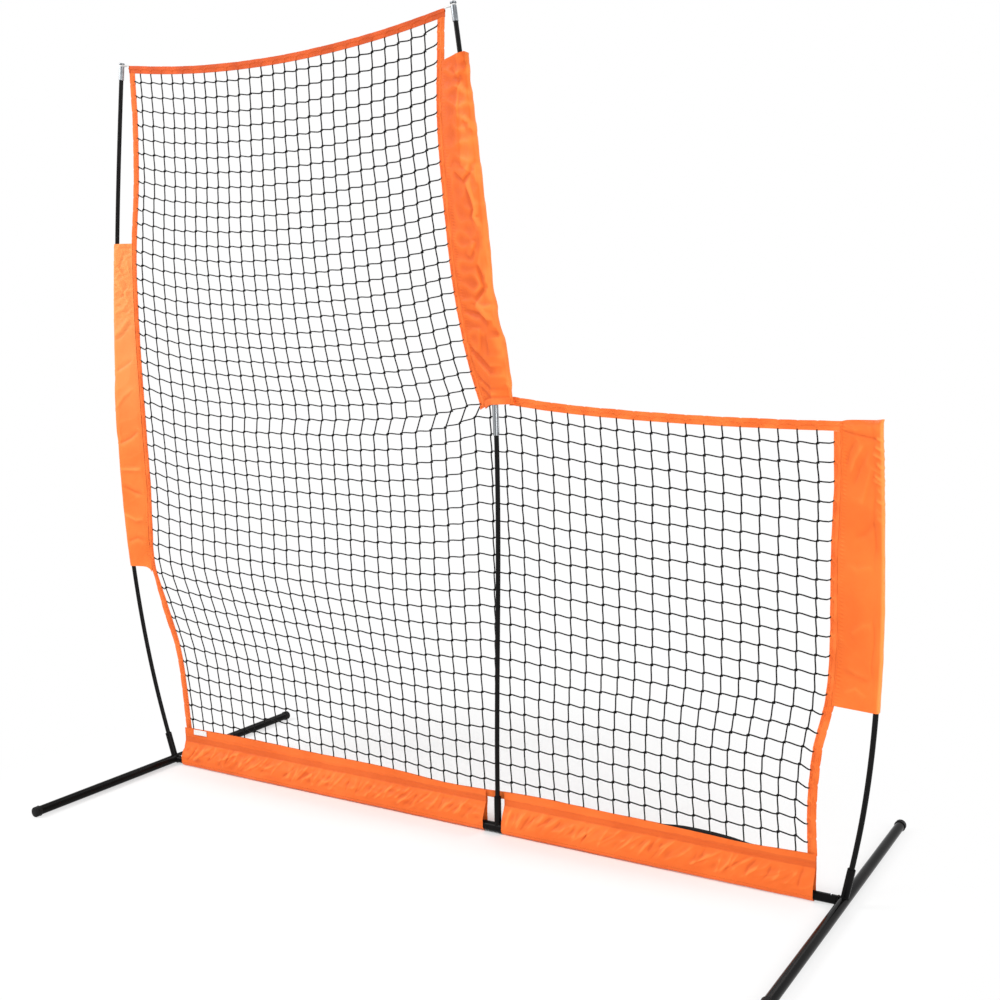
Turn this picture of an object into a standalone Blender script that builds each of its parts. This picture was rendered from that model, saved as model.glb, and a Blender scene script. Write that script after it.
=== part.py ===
"""Portable baseball L-screen: tube base, bent fibreglass poles, a net in orange binding.

Metres, Z up. X runs along the crossbar, Y across it, and the net hangs behind the poles.
Heights are above the floor; the floor is Z = 0, where the foot caps rest.
"""
import math

import bmesh
import bpy
from mathutils import Matrix, Vector

# Overall sizes
foot_spacing = 2.13            # between the axes of the two foot tubes
foot_length = 1.08             # over both end caps
tall_height = 2.159            # top of the tall pole tips
low_height = 1.119             # top edge of the low side, at its right end
step_rise = 0.048              # that edge beside the centre pole, above its right end
centre_pole_offset = 0.134     # centre socket, right of the crossbar's middle
fit_gap = 0.0003               # between pieces that touch
weld_distance = 0.000002

# Tubes of the base
foot_tube_radius = 0.0127
foot_tube_wall = 0.0015
crossbar_radius = 0.0111
crossbar_wall = 0.0012
stub_wall = 0.0012
stub_length = 0.068            # beyond the foot tube's side
bar_end_gap = 0.003            # between the foot tube's side and the crossbar's end
coupler_radius = 0.0127
coupler_left_reach = 0.045     # from the centre socket's axis
coupler_right_reach = 0.055
bar_meeting_gap = 0.004        # between the two crossbar halves inside the coupler
round_steps = 20

# End caps of the feet
cap_radius = 0.0150
cap_grip = 0.013               # length over the tube
cap_end_wall = 0.003
cap_dome = 0.0025
cap_edge_round = 0.0025

# Pole sockets
socket_radius = 0.0095
socket_top = 0.095
centre_socket_top = 0.100
socket_rim_depth = 0.004
socket_rim_wall = 0.0015
left_lean_share = 0.3296       # sideways run, as a share of the height
right_lean_share = 0.2061

# Poles and their ferrules
pole_radius = 0.00635
pole_fit = 0.0004              # running fit of a pole in a socket, ferrule or tip
ferrule_radius = 0.00825
ferrule_length = 0.100
pole_joint_height = 1.118      # where the lower and upper sections meet
left_tip_pull = 0.620          # how far the net draws the left pole's top inwards
right_tip_pull = 0.1675
centre_tip_pull = 0.5945
centre_step_pull = 0.2091      # how far the low side draws the centre pole at the step
right_tip_drop = 0.009         # top of the right pole, below the low side's edge
pole_stations = 7

# Pole tips
tip_body_radius = 0.00775
tip_body_length = 0.038
tip_neck_radius = 0.0045
tip_neck_length = 0.005
tip_head_radius = 0.0085
tip_head_length = 0.0045
tip_bore_depth = 0.034
tip_edge = 0.0008

# Snap buttons and their springs
button_radius = 0.0032
button_proud = 0.0028
button_flange_radius = 0.0046
button_flange = 0.0012
button_dome = 0.0012
foot_button_inset = 0.029      # from the foot tube's axis
coupler_button_inset = 0.021   # from the centre socket's axis
spring_length = 0.038
spring_width = 0.0050
spring_thickness = 0.0008
rivet_radius = 0.0020
rivet_head_radius = 0.0036
rivet_head = 0.0014
rivet_inset = 0.030            # left of the centre socket's axis

# Net and binding
net_setback = 0.01225          # net plane behind the plane of the poles
cord_diameter = 0.0025
binding_width = 0.022
binding_thickness = 0.0025
top_sag = 0.046                # of the top edge, between the two tall poles
step_sag = 0.0105              # of the low side's top edge
hem_top = 0.117
hem_depth = 0.025
tall_columns = 10
low_columns = 8
lower_rows = 8
upper_rows = 9
net_clearance = 0.0005         # between the border cord and the binding

# Distance of the binding's outer edge from its pole, as shares of the inset beside them
left_inset = 0.076
left_height_shares = (0.046, 0.124, 0.185, 0.250, 0.300, 0.389, 0.520, 0.653, 0.750, 0.826, 0.921, 1.000)
left_inset_shares = (0.96, 1.39, 1.47, 1.10, 0.81, 1.06, 1.01, 0.78, 0.64, 0.71, 0.53, 0.22)
right_inset = 0.094
right_height_shares = (0.090, 0.160, 0.227, 0.270, 0.330, 0.420, 0.560, 0.720, 0.880, 1.000)
right_inset_shares = (0.92, 1.09, 1.21, 1.30, 1.21, 1.04, 0.99, 1.00, 0.89, 0.87)
centre_inset = 0.0925
centre_height_shares = (0.520, 0.560, 0.594, 0.643, 0.690, 0.765, 0.843, 0.902, 0.938, 1.000)
centre_inset_shares = (0.27, 0.54, 0.73, 0.90, 0.99, 1.00, 0.93, 0.78, 0.62, 0.36)

# Fabric sleeves on the poles
fabric = 0.0010
sleeve_lap = 0.005             # how far a sleeve laps over the binding
tunnel_reach = 0.0115          # fabric beyond the pole's axis, on the outer side
tunnel_front = 0.0095          # fabric in front of the pole's axis
tunnel_nose = 0.003            # flat stretch across the front of the pole
left_sleeve_bottom = 0.620
left_sleeve_top = 1.628
right_sleeve_bottom = 0.470
right_sleeve_rise = 0.005      # its closed top, above the low side's edge
centre_sleeve_top = 2.028
corner_flare = 0.037           # extra reach at the foot of the centre sleeve
corner_flare_height = 1.400
sleeve_stations = 9
sleeve_arc_steps = 6

# Base pocket, its flap and closure
base_gap_left = 0.040          # from the centre pole's axis to the left pocket
base_gap_right = 0.018
pocket_rear_height = 0.030
pocket_arc_steps = 9           # odd, so that a flat side faces the floor
flap_top_drop = 0.002          # flap's top edge below the hem's
flap_lean_height = 0.026
flap_flat_height = 0.088
strip_thickness = 0.0015
strip_inset = 0.010
tag_width = 0.054
tag_height = 0.015
tag_thickness = 0.0005
tag_inset = 0.040              # from the hem's left end
tag_rise = 0.002               # above the hem

# Corner loops
loop_cord_radius = 0.0011
loop_steps = 10

half_step = math.pi / round_steps
flat_share = math.cos(half_step)
bar_height = cap_radius * flat_share
half_span = foot_spacing / 2
step_height = low_height + step_rise
right_pole_top = low_height - right_tip_drop
right_sleeve_top = low_height + right_sleeve_rise


def colour_material(name, colour, roughness, metallic):
    material = bpy.data.materials.new(name)
    material.use_nodes = True
    shader = material.node_tree.nodes["Principled BSDF"]
    shader.inputs["Base Color"].default_value = (*colour, 1)
    shader.inputs["Roughness"].default_value = roughness
    shader.inputs["Metallic"].default_value = metallic
    material.diffuse_color = (*colour, 1)
    return material


def clear_scene():
    for old in list(bpy.data.objects):
        bpy.data.objects.remove(old, do_unlink=True)


def add_part(name, mesh, material, smooth_angle=math.radians(35)):
    """Put a mesh in the screen's collection, under the common origin."""
    part = bpy.data.objects.new(name, mesh)
    screen.objects.link(part)
    part.parent = origin
    mesh.materials.clear()
    mesh.materials.append(material)
    mesh.shade_smooth()
    mesh.set_sharp_from_angle(angle=smooth_angle)
    return part


def add_cutter(name, mesh):
    cutter = bpy.data.objects.new(name, mesh)
    cutters.objects.link(cutter)
    cutter.parent = origin
    cutter.hide_render = True
    cutter.display_type = "WIRE"
    return cutter


def combine(part, tool, operation):
    """Join or cut a part with a tool, and weld the result so that the next cut starts clean."""
    change = part.modifiers.new(tool.name, "BOOLEAN")
    change.operation = operation
    change.object = tool
    view = bpy.context.evaluated_depsgraph_get()
    mesh = bpy.data.meshes.new_from_object(part.evaluated_get(view))
    part.modifiers.clear()
    work = bmesh.new()
    work.from_mesh(mesh)
    bmesh.ops.remove_doubles(work, verts=work.verts, dist=weld_distance)
    work.to_mesh(mesh)
    work.free()
    part.data = mesh


def turned_mesh(name, profile):
    """Spin a closed (radius, height) profile, with a flat facing each side, into a mesh."""
    work = bmesh.new()
    ring = [work.verts.new((r * math.cos(half_step), r * math.sin(half_step), z)) for r, z in profile]
    closed = profile[0][0] > 0
    for first, second in zip(ring, ring[1:]):
        work.edges.new((first, second))
    if closed:
        work.edges.new((ring[-1], ring[0]))
    mesh = bpy.data.meshes.new(name)
    work.to_mesh(mesh)
    work.free()
    helper = bpy.data.objects.new(name + "_profile", mesh)
    cutters.objects.link(helper)
    spin = helper.modifiers.new("spin", "SCREW")
    spin.steps = round_steps
    spin.render_steps = round_steps
    spin.use_merge_vertices = True
    spin.merge_threshold = weld_distance
    view = bpy.context.evaluated_depsgraph_get()
    solid = bpy.data.meshes.new_from_object(helper.evaluated_get(view))
    bpy.data.objects.remove(helper, do_unlink=True)
    solid.name = name
    return solid


def aimed(base, direction):
    """Matrix that puts a turned piece's foot at base with its axis along direction."""
    turn = Vector(direction).to_track_quat("Z", "Y").to_matrix().to_4x4()
    return Matrix.Translation(Vector(base)) @ turn


def turned(name, profile, base, direction, material):
    mesh = turned_mesh(name, profile)
    part = add_part(name, mesh, material)
    part.matrix_local = aimed(base, direction)
    return part


def turned_cutter(name, profile, base, direction):
    cutter = add_cutter(name, turned_mesh(name, profile))
    cutter.matrix_local = aimed(base, direction)
    return cutter


def rod_profile(radius, low, high):
    return [(0, high), (radius, high), (radius, low), (0, low)]


def pipe_profile(outer, inner, low, high):
    return [(outer, high), (outer, low), (inner, low), (inner, high)]


def tube(name, points, radius, material, cyclic=False, resolution=3):
    """A round bar along hand-placed or computed points."""
    curve = bpy.data.curves.new(name, "CURVE")
    curve.dimensions = "3D"
    curve.bevel_depth = radius
    curve.bevel_resolution = resolution
    curve.use_fill_caps = not cyclic
    spline = curve.splines.new("POLY")
    spline.points.add(len(points) - 1)
    for slot, place in zip(spline.points, points):
        slot.co = (*place, 1)
    spline.use_cyclic_u = cyclic
    part = bpy.data.objects.new(name, curve)
    screen.objects.link(part)
    part.parent = origin
    curve.materials.append(material)
    return part


def sheet_mesh(name, rows, closed=False):
    """Faces between rows of points; closed joins each row's last point to its first."""
    work = bmesh.new()
    grid = [[work.verts.new(place) for place in row] for row in rows]
    count = len(rows[0])
    spans = count if closed else count - 1
    for low, high in zip(grid, grid[1:]):
        for i in range(spans):
            j = (i + 1) % count
            work.faces.new((low[i], low[j], high[j], high[i]))
    mesh = bpy.data.meshes.new(name)
    work.to_mesh(mesh)
    work.free()
    return mesh


def sheet(name, rows, thickness, material):
    part = add_part(name, sheet_mesh(name, rows), material)
    wall = part.modifiers.new("wall", "SOLIDIFY")
    wall.thickness = thickness
    wall.offset = 0
    wall.use_even_offset = True
    return part


def strip_box(name, low, high, material):
    work = bmesh.new()
    bmesh.ops.create_cube(work, size=1)
    size = [b - a for a, b in zip(low, high)]
    middle = [(a + b) / 2 for a, b in zip(low, high)]
    bmesh.ops.scale(work, vec=size, verts=work.verts)
    bmesh.ops.translate(work, vec=middle, verts=work.verts)
    mesh = bpy.data.meshes.new(name)
    work.to_mesh(mesh)
    work.free()
    return add_part(name, mesh, material)


def blend(low, high, share):
    return low + (high - low) * share


def spaced(low, high, count):
    return [blend(low, high, i / count) for i in range(count + 1)]


def smooth_table(places, values, place):
    """Catmull-Rom curve through a short table, level beyond its ends."""
    if place <= places[0]:
        return values[0]
    if place >= places[-1]:
        return values[-1]
    i = max(k for k in range(len(places) - 1) if places[k] <= place)
    step = places[i + 1] - places[i]

    def slope(k):
        a = max(k - 1, 0)
        b = min(k + 1, len(places) - 1)
        return (values[b] - values[a]) / (places[b] - places[a])

    t = (place - places[i]) / step
    start = (2 * t ** 3 - 3 * t ** 2 + 1) * values[i] + (t ** 3 - 2 * t ** 2 + t) * step * slope(i)
    end = (3 * t ** 2 - 2 * t ** 3) * values[i + 1] + (t ** 3 - t ** 2) * step * slope(i + 1)
    return start + end


# Pole curves, as bent cantilevers held at their socket's top
def bend(height, root, top):
    """Sideways shape of a bar loaded at its top: 0 at the root, 1 at the top."""
    s = max(height - root, 0)
    length = top - root
    return (3 * length * s ** 2 - s ** 3) / (2 * length ** 3)


def bend_beyond(height, root, load):
    """The same for a load part of the way up: straight above the load."""
    if height <= load:
        return bend(height, root, load)
    return 1 + 1.5 * (height - load) / (load - root)


def left_pole_x(z):
    lean = left_lean_share * (z - bar_height)
    return -half_span - lean + left_tip_pull * bend(z, socket_top, tall_height)


def right_pole_x(z):
    lean = right_lean_share * (z - bar_height)
    return half_span + lean - right_tip_pull * bend(z, socket_top, right_pole_top)


def centre_pole_x(z):
    out = centre_step_pull * bend_beyond(z, centre_socket_top, step_height)
    return centre_pole_offset + out - centre_tip_pull * bend(z, centre_socket_top, tall_height)


# Edges of the net's binding
def scaled_inset(z, top, height_shares, inset_shares, inset):
    return inset * smooth_table([share * top for share in height_shares], inset_shares, z)


def left_edge(z):
    inset = scaled_inset(z, tall_height, left_height_shares, left_inset_shares, left_inset)
    return left_pole_x(z) + inset


def right_edge(z):
    inset = scaled_inset(z, low_height, right_height_shares, right_inset_shares, right_inset)
    return right_pole_x(z) - inset


def centre_edge(z):
    inset = scaled_inset(z, tall_height, centre_height_shares, centre_inset_shares, centre_inset)
    return centre_pole_x(z) - inset


neck_height = tall_height - tip_head_length - tip_neck_length / 2
top_corner_height = neck_height + loop_cord_radius
top_left = left_edge(top_corner_height)
top_right = centre_edge(top_corner_height)
step_left = centre_edge(step_height)
step_right = right_edge(low_height)
binding_front = net_setback - binding_thickness / 2
cloth_rear = net_setback + binding_thickness / 2 + fit_gap + fabric / 2
cloth_front = binding_front - fit_gap - fabric / 2


def top_line(x):
    middle = (top_left + top_right) / 2
    share = (x - middle) / ((top_right - top_left) / 2)
    return top_corner_height - top_sag * (1 - share ** 2)


def step_line(x):
    """Top edge of the low side, level to the left of the step's corner."""
    share = max((x - step_left) / (step_right - step_left), 0)
    return blend(step_height, low_height, share) - 4 * step_sag * share * (1 - share)


def under_top(x):
    return top_line(x) - binding_width


def under_step(x):
    return step_line(x) - binding_width


centre_sleeve_bottom = under_step(step_left)
corner_reach = tunnel_reach + corner_flare

# Rows of the net, which the bindings' bends follow
margin = cord_diameter / 2 + net_clearance
net_bottom = hem_top + margin
corner_x = centre_edge(step_height) - binding_width - margin
corner_z = under_step(corner_x) - margin
lower_heights = spaced(net_bottom, corner_z, lower_rows)


def left_side(z):
    return left_edge(z) + binding_width + margin


def right_side(z):
    return right_edge(z) - binding_width - margin


def seam(z):
    """Line where the two panels of the net meet, and above it the tall side's free edge."""
    if z <= lower_heights[-2] + fit_gap:
        return centre_pole_x(z)
    return corner_x if z <= corner_z + fit_gap else centre_edge(z) - binding_width - margin


top_columns = spaced(left_side(top_corner_height), seam(top_corner_height), tall_columns)


def upper_heights(x_top):
    return spaced(corner_z, under_top(x_top) - margin, upper_rows)


def low_heights(x_top):
    return spaced(net_bottom, under_step(x_top) - margin, lower_rows)


def build_base():
    """Crossbar halves, centre coupler, feet, stubs, sockets and end caps."""
    axis_x = (1, 0, 0)
    centre = Vector((centre_pole_offset, 0, bar_height))
    left_bar_end = -half_span + foot_tube_radius + bar_end_gap
    right_bar_end = half_span - foot_tube_radius - bar_end_gap
    bore = crossbar_radius - crossbar_wall
    halves = (("crossbar_left", left_bar_end, centre_pole_offset - bar_meeting_gap / 2),
              ("crossbar_right", centre_pole_offset + bar_meeting_gap / 2, right_bar_end))
    bars = {}
    for name, low, high in halves:
        profile = pipe_profile(crossbar_radius, bore, 0, high - low)
        bars[name] = turned(name, profile, (low, 0, bar_height), axis_x, paint)

    # Centre coupler: a sleeve over both halves, with the pole socket standing on it
    reach = coupler_left_reach + coupler_right_reach
    start = centre - Vector((coupler_left_reach, 0, 0))
    coupler = turned("centre_coupler", rod_profile(coupler_radius, 0, reach), start, axis_x, paint)
    top = centre_socket_top - bar_height
    upright = turned_cutter("coupler_upright", rod_profile(socket_radius, 0, top), centre, (0, 0, 1))
    combine(coupler, upright, "UNION")
    sleeve_bore = crossbar_radius + fit_gap / flat_share
    through = turned_cutter("coupler_bore", rod_profile(sleeve_bore, -coupler_radius, reach + coupler_radius),
                            start, axis_x)
    combine(coupler, through, "DIFFERENCE")
    combine(coupler, socket_bore_cutter("centre", centre, (0, 0, 1), coupler_radius, top), "DIFFERENCE")

    for side, sign in (("left", -1), ("right", 1)):
        foot_x = sign * half_span
        tube_half = foot_length / 2 - cap_end_wall - cap_dome - fit_gap
        shell = pipe_profile(foot_tube_radius, foot_tube_radius - foot_tube_wall, -tube_half, tube_half)
        turned(side + "_foot_tube", shell, (foot_x, 0, bar_height), (0, 1, 0), paint)
        saddle = turned_cutter(side + "_saddle",
                               rod_profile(foot_tube_radius + fit_gap / flat_share, -tube_half, tube_half),
                               (foot_x, 0, bar_height), (0, 1, 0))
        inward = (-sign, 0, 0)
        stub_radius = bore - fit_gap
        stub = turned(side + "_foot_stub",
                      pipe_profile(stub_radius, stub_radius - stub_wall, 0, foot_tube_radius + stub_length),
                      (foot_x, 0, bar_height), inward, paint)
        combine(stub, saddle, "DIFFERENCE")
        build_caps(side, foot_x, tube_half)
        slope = left_lean_share if sign < 0 else right_lean_share
        lean = Vector((sign * slope, 0, 1)).normalized()
        base = Vector((foot_x, 0, bar_height))
        length = (socket_top - bar_height) / lean.z
        socket = turned(side + "_pole_socket",
                        rod_profile(socket_radius, socket_radius / 2, length), base, lean, paint)
        combine(socket, saddle, "DIFFERENCE")
        combine(socket, socket_bore_cutter(side, base, lean, 0, length), "DIFFERENCE")
        pin_holes(side + "_foot", (foot_x - sign * foot_button_inset, 0, bar_height),
                  (stub, bars["crossbar_" + side]))
        build_button(side + "_foot", foot_x - sign * foot_button_inset, -sign,
                     stub_radius - stub_wall, bore, crossbar_radius)
    button_x = centre_pole_offset + coupler_button_inset
    pin_holes("coupler", (button_x, 0, bar_height), (coupler, bars["crossbar_right"]))
    build_button("coupler", button_x, 1, bore, sleeve_bore, coupler_radius)
    build_rivet(coupler, bars["crossbar_left"], bore)


def socket_bore_cutter(side, base, direction, floor, length):
    """Pole bore of a socket from its floor up, with the wider rim at its mouth."""
    fit = pole_radius + pole_fit
    rim = socket_radius - socket_rim_wall
    shoulder = length - socket_rim_depth
    profile = [(0, length + socket_rim_depth), (rim, length + socket_rim_depth), (rim, shoulder),
               (fit, shoulder - (rim - fit)), (fit, floor), (0, floor)]
    return turned_cutter(side + "_socket_bore", profile, base, direction)


def pin_holes(label, place, parts):
    """One round hole through the top wall of each tube named."""
    profile = rod_profile(button_radius + fit_gap / flat_share, 0, coupler_radius * 2)
    drill = turned_cutter(label + "_drill", profile, place, (0, 0, 1))
    for part in parts:
        combine(part, drill, "DIFFERENCE")


def build_button(label, x, spring_way, inner_radius, hole_radius, skin_radius):
    """Snap button through two tubes' walls, and the V spring that lifts it."""
    seat = math.sqrt(inner_radius ** 2 - button_flange_radius ** 2) * flat_share - fit_gap
    top = skin_radius + button_proud
    profile = [(0, top), (button_radius * 0.6, top - button_dome * 0.2), (button_radius, top - button_dome),
               (button_radius, seat), (button_flange_radius, seat),
               (button_flange_radius, seat - button_flange), (0, seat - button_flange)]
    turned(label + "_button", profile, (x, 0, bar_height), (0, 0, 1), bright)
    leg_top = seat - button_flange - fit_gap - spring_thickness / 2
    floor = math.sqrt(inner_radius ** 2 - (spring_width / 2) ** 2) * flat_share
    leg_bottom = -floor + fit_gap + spring_thickness / 2
    tail = button_flange_radius
    line = [(-tail, leg_top), (tail, leg_top), (spring_length, spring_thickness),
            (spring_length + spring_thickness, 0), (spring_length, -spring_thickness),
            (tail, leg_bottom), (-tail, leg_bottom)]
    rows = [[(x + spring_way * run, y, bar_height + rise) for run, rise in line]
            for y in (-spring_width / 2, spring_width / 2)]
    sheet(label + "_spring", rows, spring_thickness, spring_steel)


def build_rivet(coupler, bar, bore):
    """Rivet that keeps the left half of the crossbar in the coupler."""
    place = (centre_pole_offset - rivet_inset, 0, bar_height)
    shank = rod_profile(rivet_radius + fit_gap / flat_share, 0, coupler_radius * 2)
    drill = turned_cutter("rivet_drill", shank, place, (0, -1, 0))
    combine(coupler, drill, "DIFFERENCE")
    combine(bar, drill, "DIFFERENCE")
    face = coupler_radius + fit_gap
    profile = [(0, face + rivet_head), (rivet_head_radius / 2, face + rivet_head),
               (rivet_head_radius, face), (rivet_radius, face), (rivet_radius, bore), (0, bore)]
    turned("coupler_rivet", profile, place, (0, -1, 0), bright)


def build_caps(side, foot_x, tube_half):
    """Rubber cup over each end of a foot tube; its flats meet the floor."""
    bore = foot_tube_radius + fit_gap / flat_share
    inner = tube_half + fit_gap
    outer = inner + cap_end_wall
    mouth = tube_half - cap_grip
    profile = [(0, outer + cap_dome), (cap_radius / 2, outer + cap_dome * 0.8),
               (cap_radius - cap_edge_round, outer), (cap_radius, outer - cap_edge_round),
               (cap_radius, mouth), (bore, mouth), (bore, inner), (0, inner)]
    for end, way in (("front", -1), ("rear", 1)):
        turned(side + "_" + end + "_foot_cap", profile, (foot_x, 0, bar_height), (0, way, 0), rubber)


def pole_points(line, heights):
    return [(line(z), 0, z) for z in heights]


def pole_direction(line, z):
    step = pole_radius
    return Vector((line(z + step) - line(z - step), 0, 2 * step)).normalized()


def build_poles():
    half_ferrule = ferrule_length / 2
    joint = pole_joint_height
    lower_part = [joint - half_ferrule, joint - half_ferrule / 2, joint - fit_gap / 2]
    upper_part = [joint + fit_gap / 2, joint + half_ferrule / 2, joint + half_ferrule]
    side_start = bar_height + foot_tube_radius + fit_gap
    for side, line, start, root in (("left", left_pole_x, side_start, socket_top),
                                    ("centre", centre_pole_x, bar_height + coupler_radius + fit_gap,
                                     centre_socket_top)):
        crown = tall_height - tip_head_length - tip_neck_length - fit_gap
        crown -= tip_body_length - tip_bore_depth
        top = crown - tip_edge
        lower = [start] + spaced(root, joint - half_ferrule, pole_stations)[:-1] + lower_part
        upper = upper_part[:-1] + spaced(joint + half_ferrule, top, pole_stations)
        tube(side + "_lower_pole", pole_points(line, lower), pole_radius, fibreglass)
        tube(side + "_upper_pole", pole_points(line, upper), pole_radius, fibreglass)
        build_ferrule(side, line, joint, half_ferrule)
        build_tip(side, line, tall_height)
    crown = right_pole_top - tip_head_length - tip_neck_length - fit_gap - (tip_body_length - tip_bore_depth)
    heights = [side_start] + spaced(socket_top, crown - tip_edge, pole_stations + 2)
    tube("right_pole", pole_points(right_pole_x, heights), pole_radius, fibreglass)
    build_tip("right", right_pole_x, right_pole_top)


def build_ferrule(side, line, joint, half_length):
    """Metal sleeve bent with the pole, over the meeting ends of its two sections."""
    sides = 16
    bore = pole_radius + pole_fit
    rows = []
    for z in spaced(joint - half_length, joint + half_length, 4):
        along = pole_direction(line, z)
        across = Vector((along.z, 0, -along.x))
        centre = Vector((line(z), 0, z))
        row = []
        for k in range(sides):
            angle = 2 * math.pi * (k + 0.5) / sides
            row.append(centre + across * bore * math.cos(angle) + Vector((0, bore * math.sin(angle), 0)))
        rows.append(row)
    part = add_part(side + "_ferrule", sheet_mesh(side + "_ferrule", rows, closed=True), bright)
    wall = part.modifiers.new("wall", "SOLIDIFY")
    wall.thickness = ferrule_radius - bore
    wall.offset = 1
    wall.use_even_offset = True


def build_tip(side, line, top):
    """Turned cap on the pole's end, with a groove for the corner loop."""
    neck_low = -tip_head_length - tip_neck_length
    foot = neck_low - tip_body_length
    fit = pole_radius + pole_fit
    profile = [(0, 0), (tip_head_radius - tip_edge, 0), (tip_head_radius, -tip_edge),
               (tip_head_radius, -tip_head_length + tip_edge), (tip_head_radius - tip_edge, -tip_head_length),
               (tip_neck_radius, -tip_head_length), (tip_neck_radius, neck_low),
               (tip_body_radius - tip_edge, neck_low), (tip_body_radius, neck_low - tip_edge),
               (tip_body_radius, foot), (fit, foot), (fit, foot + tip_bore_depth), (0, foot + tip_bore_depth)]
    direction = pole_direction(line, top - tip_body_length)
    turned(side + "_pole_tip", profile, (line(top), 0, top), direction, bright)


def edge_rows(outer, inner):
    """Two rows of (x, z) points in the net's plane."""
    return [[(x, net_setback, z) for x, z in outer], [(x, net_setback, z) for x, z in inner]]


def build_bindings():
    above_hem = hem_top + fit_gap
    beside_sleeve = centre_pole_x(centre_sleeve_bottom) + corner_reach + fabric / 2 + 2 * fit_gap
    cross_binding("top_binding", top_line, [top_left] + top_columns[1:-1] + [top_right])
    cross_binding("step_top_binding", step_line, spaced(beside_sleeve, step_right, low_columns))
    left_rows = lower_heights[1:] + upper_heights(top_left)[1:]
    side_binding("left_binding", left_edge, 1, [above_hem] + left_rows, under_top)
    centre_rows = [centre_sleeve_bottom] + upper_heights(top_right)[1:]
    side_binding("step_side_binding", centre_edge, -1, centre_rows, under_top)
    right_rows = [above_hem] + low_heights(step_right)[1:]
    side_binding("right_binding", right_edge, -1, right_rows, under_step)
    strip_box("hem_strap", (left_edge(hem_top), binding_front, hem_top - hem_depth),
              (right_edge(hem_top), binding_front + binding_thickness, hem_top), orange_tape)


def cross_binding(name, line, places):
    outer = [(x, line(x)) for x in places]
    inner = [(x, line(x) - binding_width) for x in places]
    sheet(name, edge_rows(outer, inner), binding_thickness, orange_tape)


def side_binding(name, edge, inward, heights, high_line):
    """Binding down one side of the net, its top end cut along the piece above it."""
    outer = [(edge(z), z) for z in heights]
    inner = [(edge(z) + inward * binding_width, z) for z in heights]
    for line in (outer, inner):
        x = line[-1][0]
        line[-1] = (x, high_line(x) - fit_gap)
    sheet(name, edge_rows(outer, inner), binding_thickness, orange_tape)


def build_net():
    """Square lattice in two panels that meet behind the centre pole."""
    tall = []
    for j in range(lower_rows + upper_rows + 1):
        row = []
        for i in range(tall_columns + 1):
            u = i / tall_columns
            z = lower_heights[j] if j <= lower_rows else upper_heights(top_columns[i])[j - lower_rows]
            row.append((blend(left_side(z), seam(z), u), net_setback, z))
        tall.append(row)
    low = []
    beside = cord_diameter + 2 * net_clearance
    for j in range(lower_rows + 1):
        row = []
        for i in range(low_columns + 1):
            u = i / low_columns
            x_top = blend(corner_x + beside, right_side(low_height - binding_width), u)
            z = low_heights(x_top)[j]
            row.append((blend(seam(lower_heights[j]) + beside, right_side(z), u), net_setback, z))
        low.append(row)
    for name, rows in (("net_tall_side", tall), ("net_low_side", low)):
        panel = add_part(name, sheet_mesh(name, rows), black_cord)
        cords = panel.modifiers.new("cords", "WIREFRAME")
        cords.thickness = cord_diameter
        cords.use_boundary = True
        cords.use_replace = True
        cords.use_even_offset = True


def sleeve_row(z, pole_x, way, web_end, reach, front):
    """One level of a sleeve: rear layer, round the pole's outer side, front layer."""
    radius = (cloth_rear + front) / 2
    middle_y = (cloth_rear - front) / 2
    middle_x = pole_x + way * (reach - radius)
    points = [(web_end, cloth_rear)]
    for k in range(sleeve_arc_steps + 1):
        angle = math.pi / 2 - math.pi * k / sleeve_arc_steps
        points.append((middle_x + way * radius * math.cos(angle), middle_y + radius * math.sin(angle)))
    points.append((pole_x - way * tunnel_nose, -front))
    points.append((web_end, cloth_front))
    return [(x, y, z) for x, y in points]


def build_sleeves():
    """Hairpin folds of cloth round the poles, sewn either side of the binding."""
    heights = spaced(left_sleeve_bottom, left_sleeve_top, sleeve_stations)
    rows = [sleeve_row(z, left_pole_x(z), -1, left_edge(z) + sleeve_lap, tunnel_reach, tunnel_front)
            for z in heights]
    sheet("left_sleeve", rows, fabric, orange_cloth)

    heights = spaced(right_sleeve_bottom, right_pole_top + fabric, sleeve_stations - 2)
    rows = [sleeve_row(z, right_pole_x(z), 1, right_edge(z) - sleeve_lap, tunnel_reach, tunnel_front)
            for z in heights]
    top = right_sleeve_top
    web_end = right_edge(top) - sleeve_lap
    rows.append(sleeve_row(top, right_pole_x(top), 1, web_end, tunnel_reach, -cloth_front))
    sheet("right_sleeve", rows, fabric, orange_cloth)

    heights = spaced(centre_sleeve_bottom, corner_flare_height, 4)[:-1]
    heights += spaced(corner_flare_height, centre_sleeve_top, sleeve_stations - 3)
    rows = []
    for z in heights:
        share = max(corner_flare_height - z, 0) / (corner_flare_height - centre_sleeve_bottom)
        reach = blend(tunnel_reach, corner_reach, math.sqrt(share))
        rows.append(sleeve_row(z, centre_pole_x(z), 1, centre_edge(z) - sleeve_lap, reach, tunnel_front))
    sheet("centre_sleeve", rows, fabric, orange_cloth)


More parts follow.
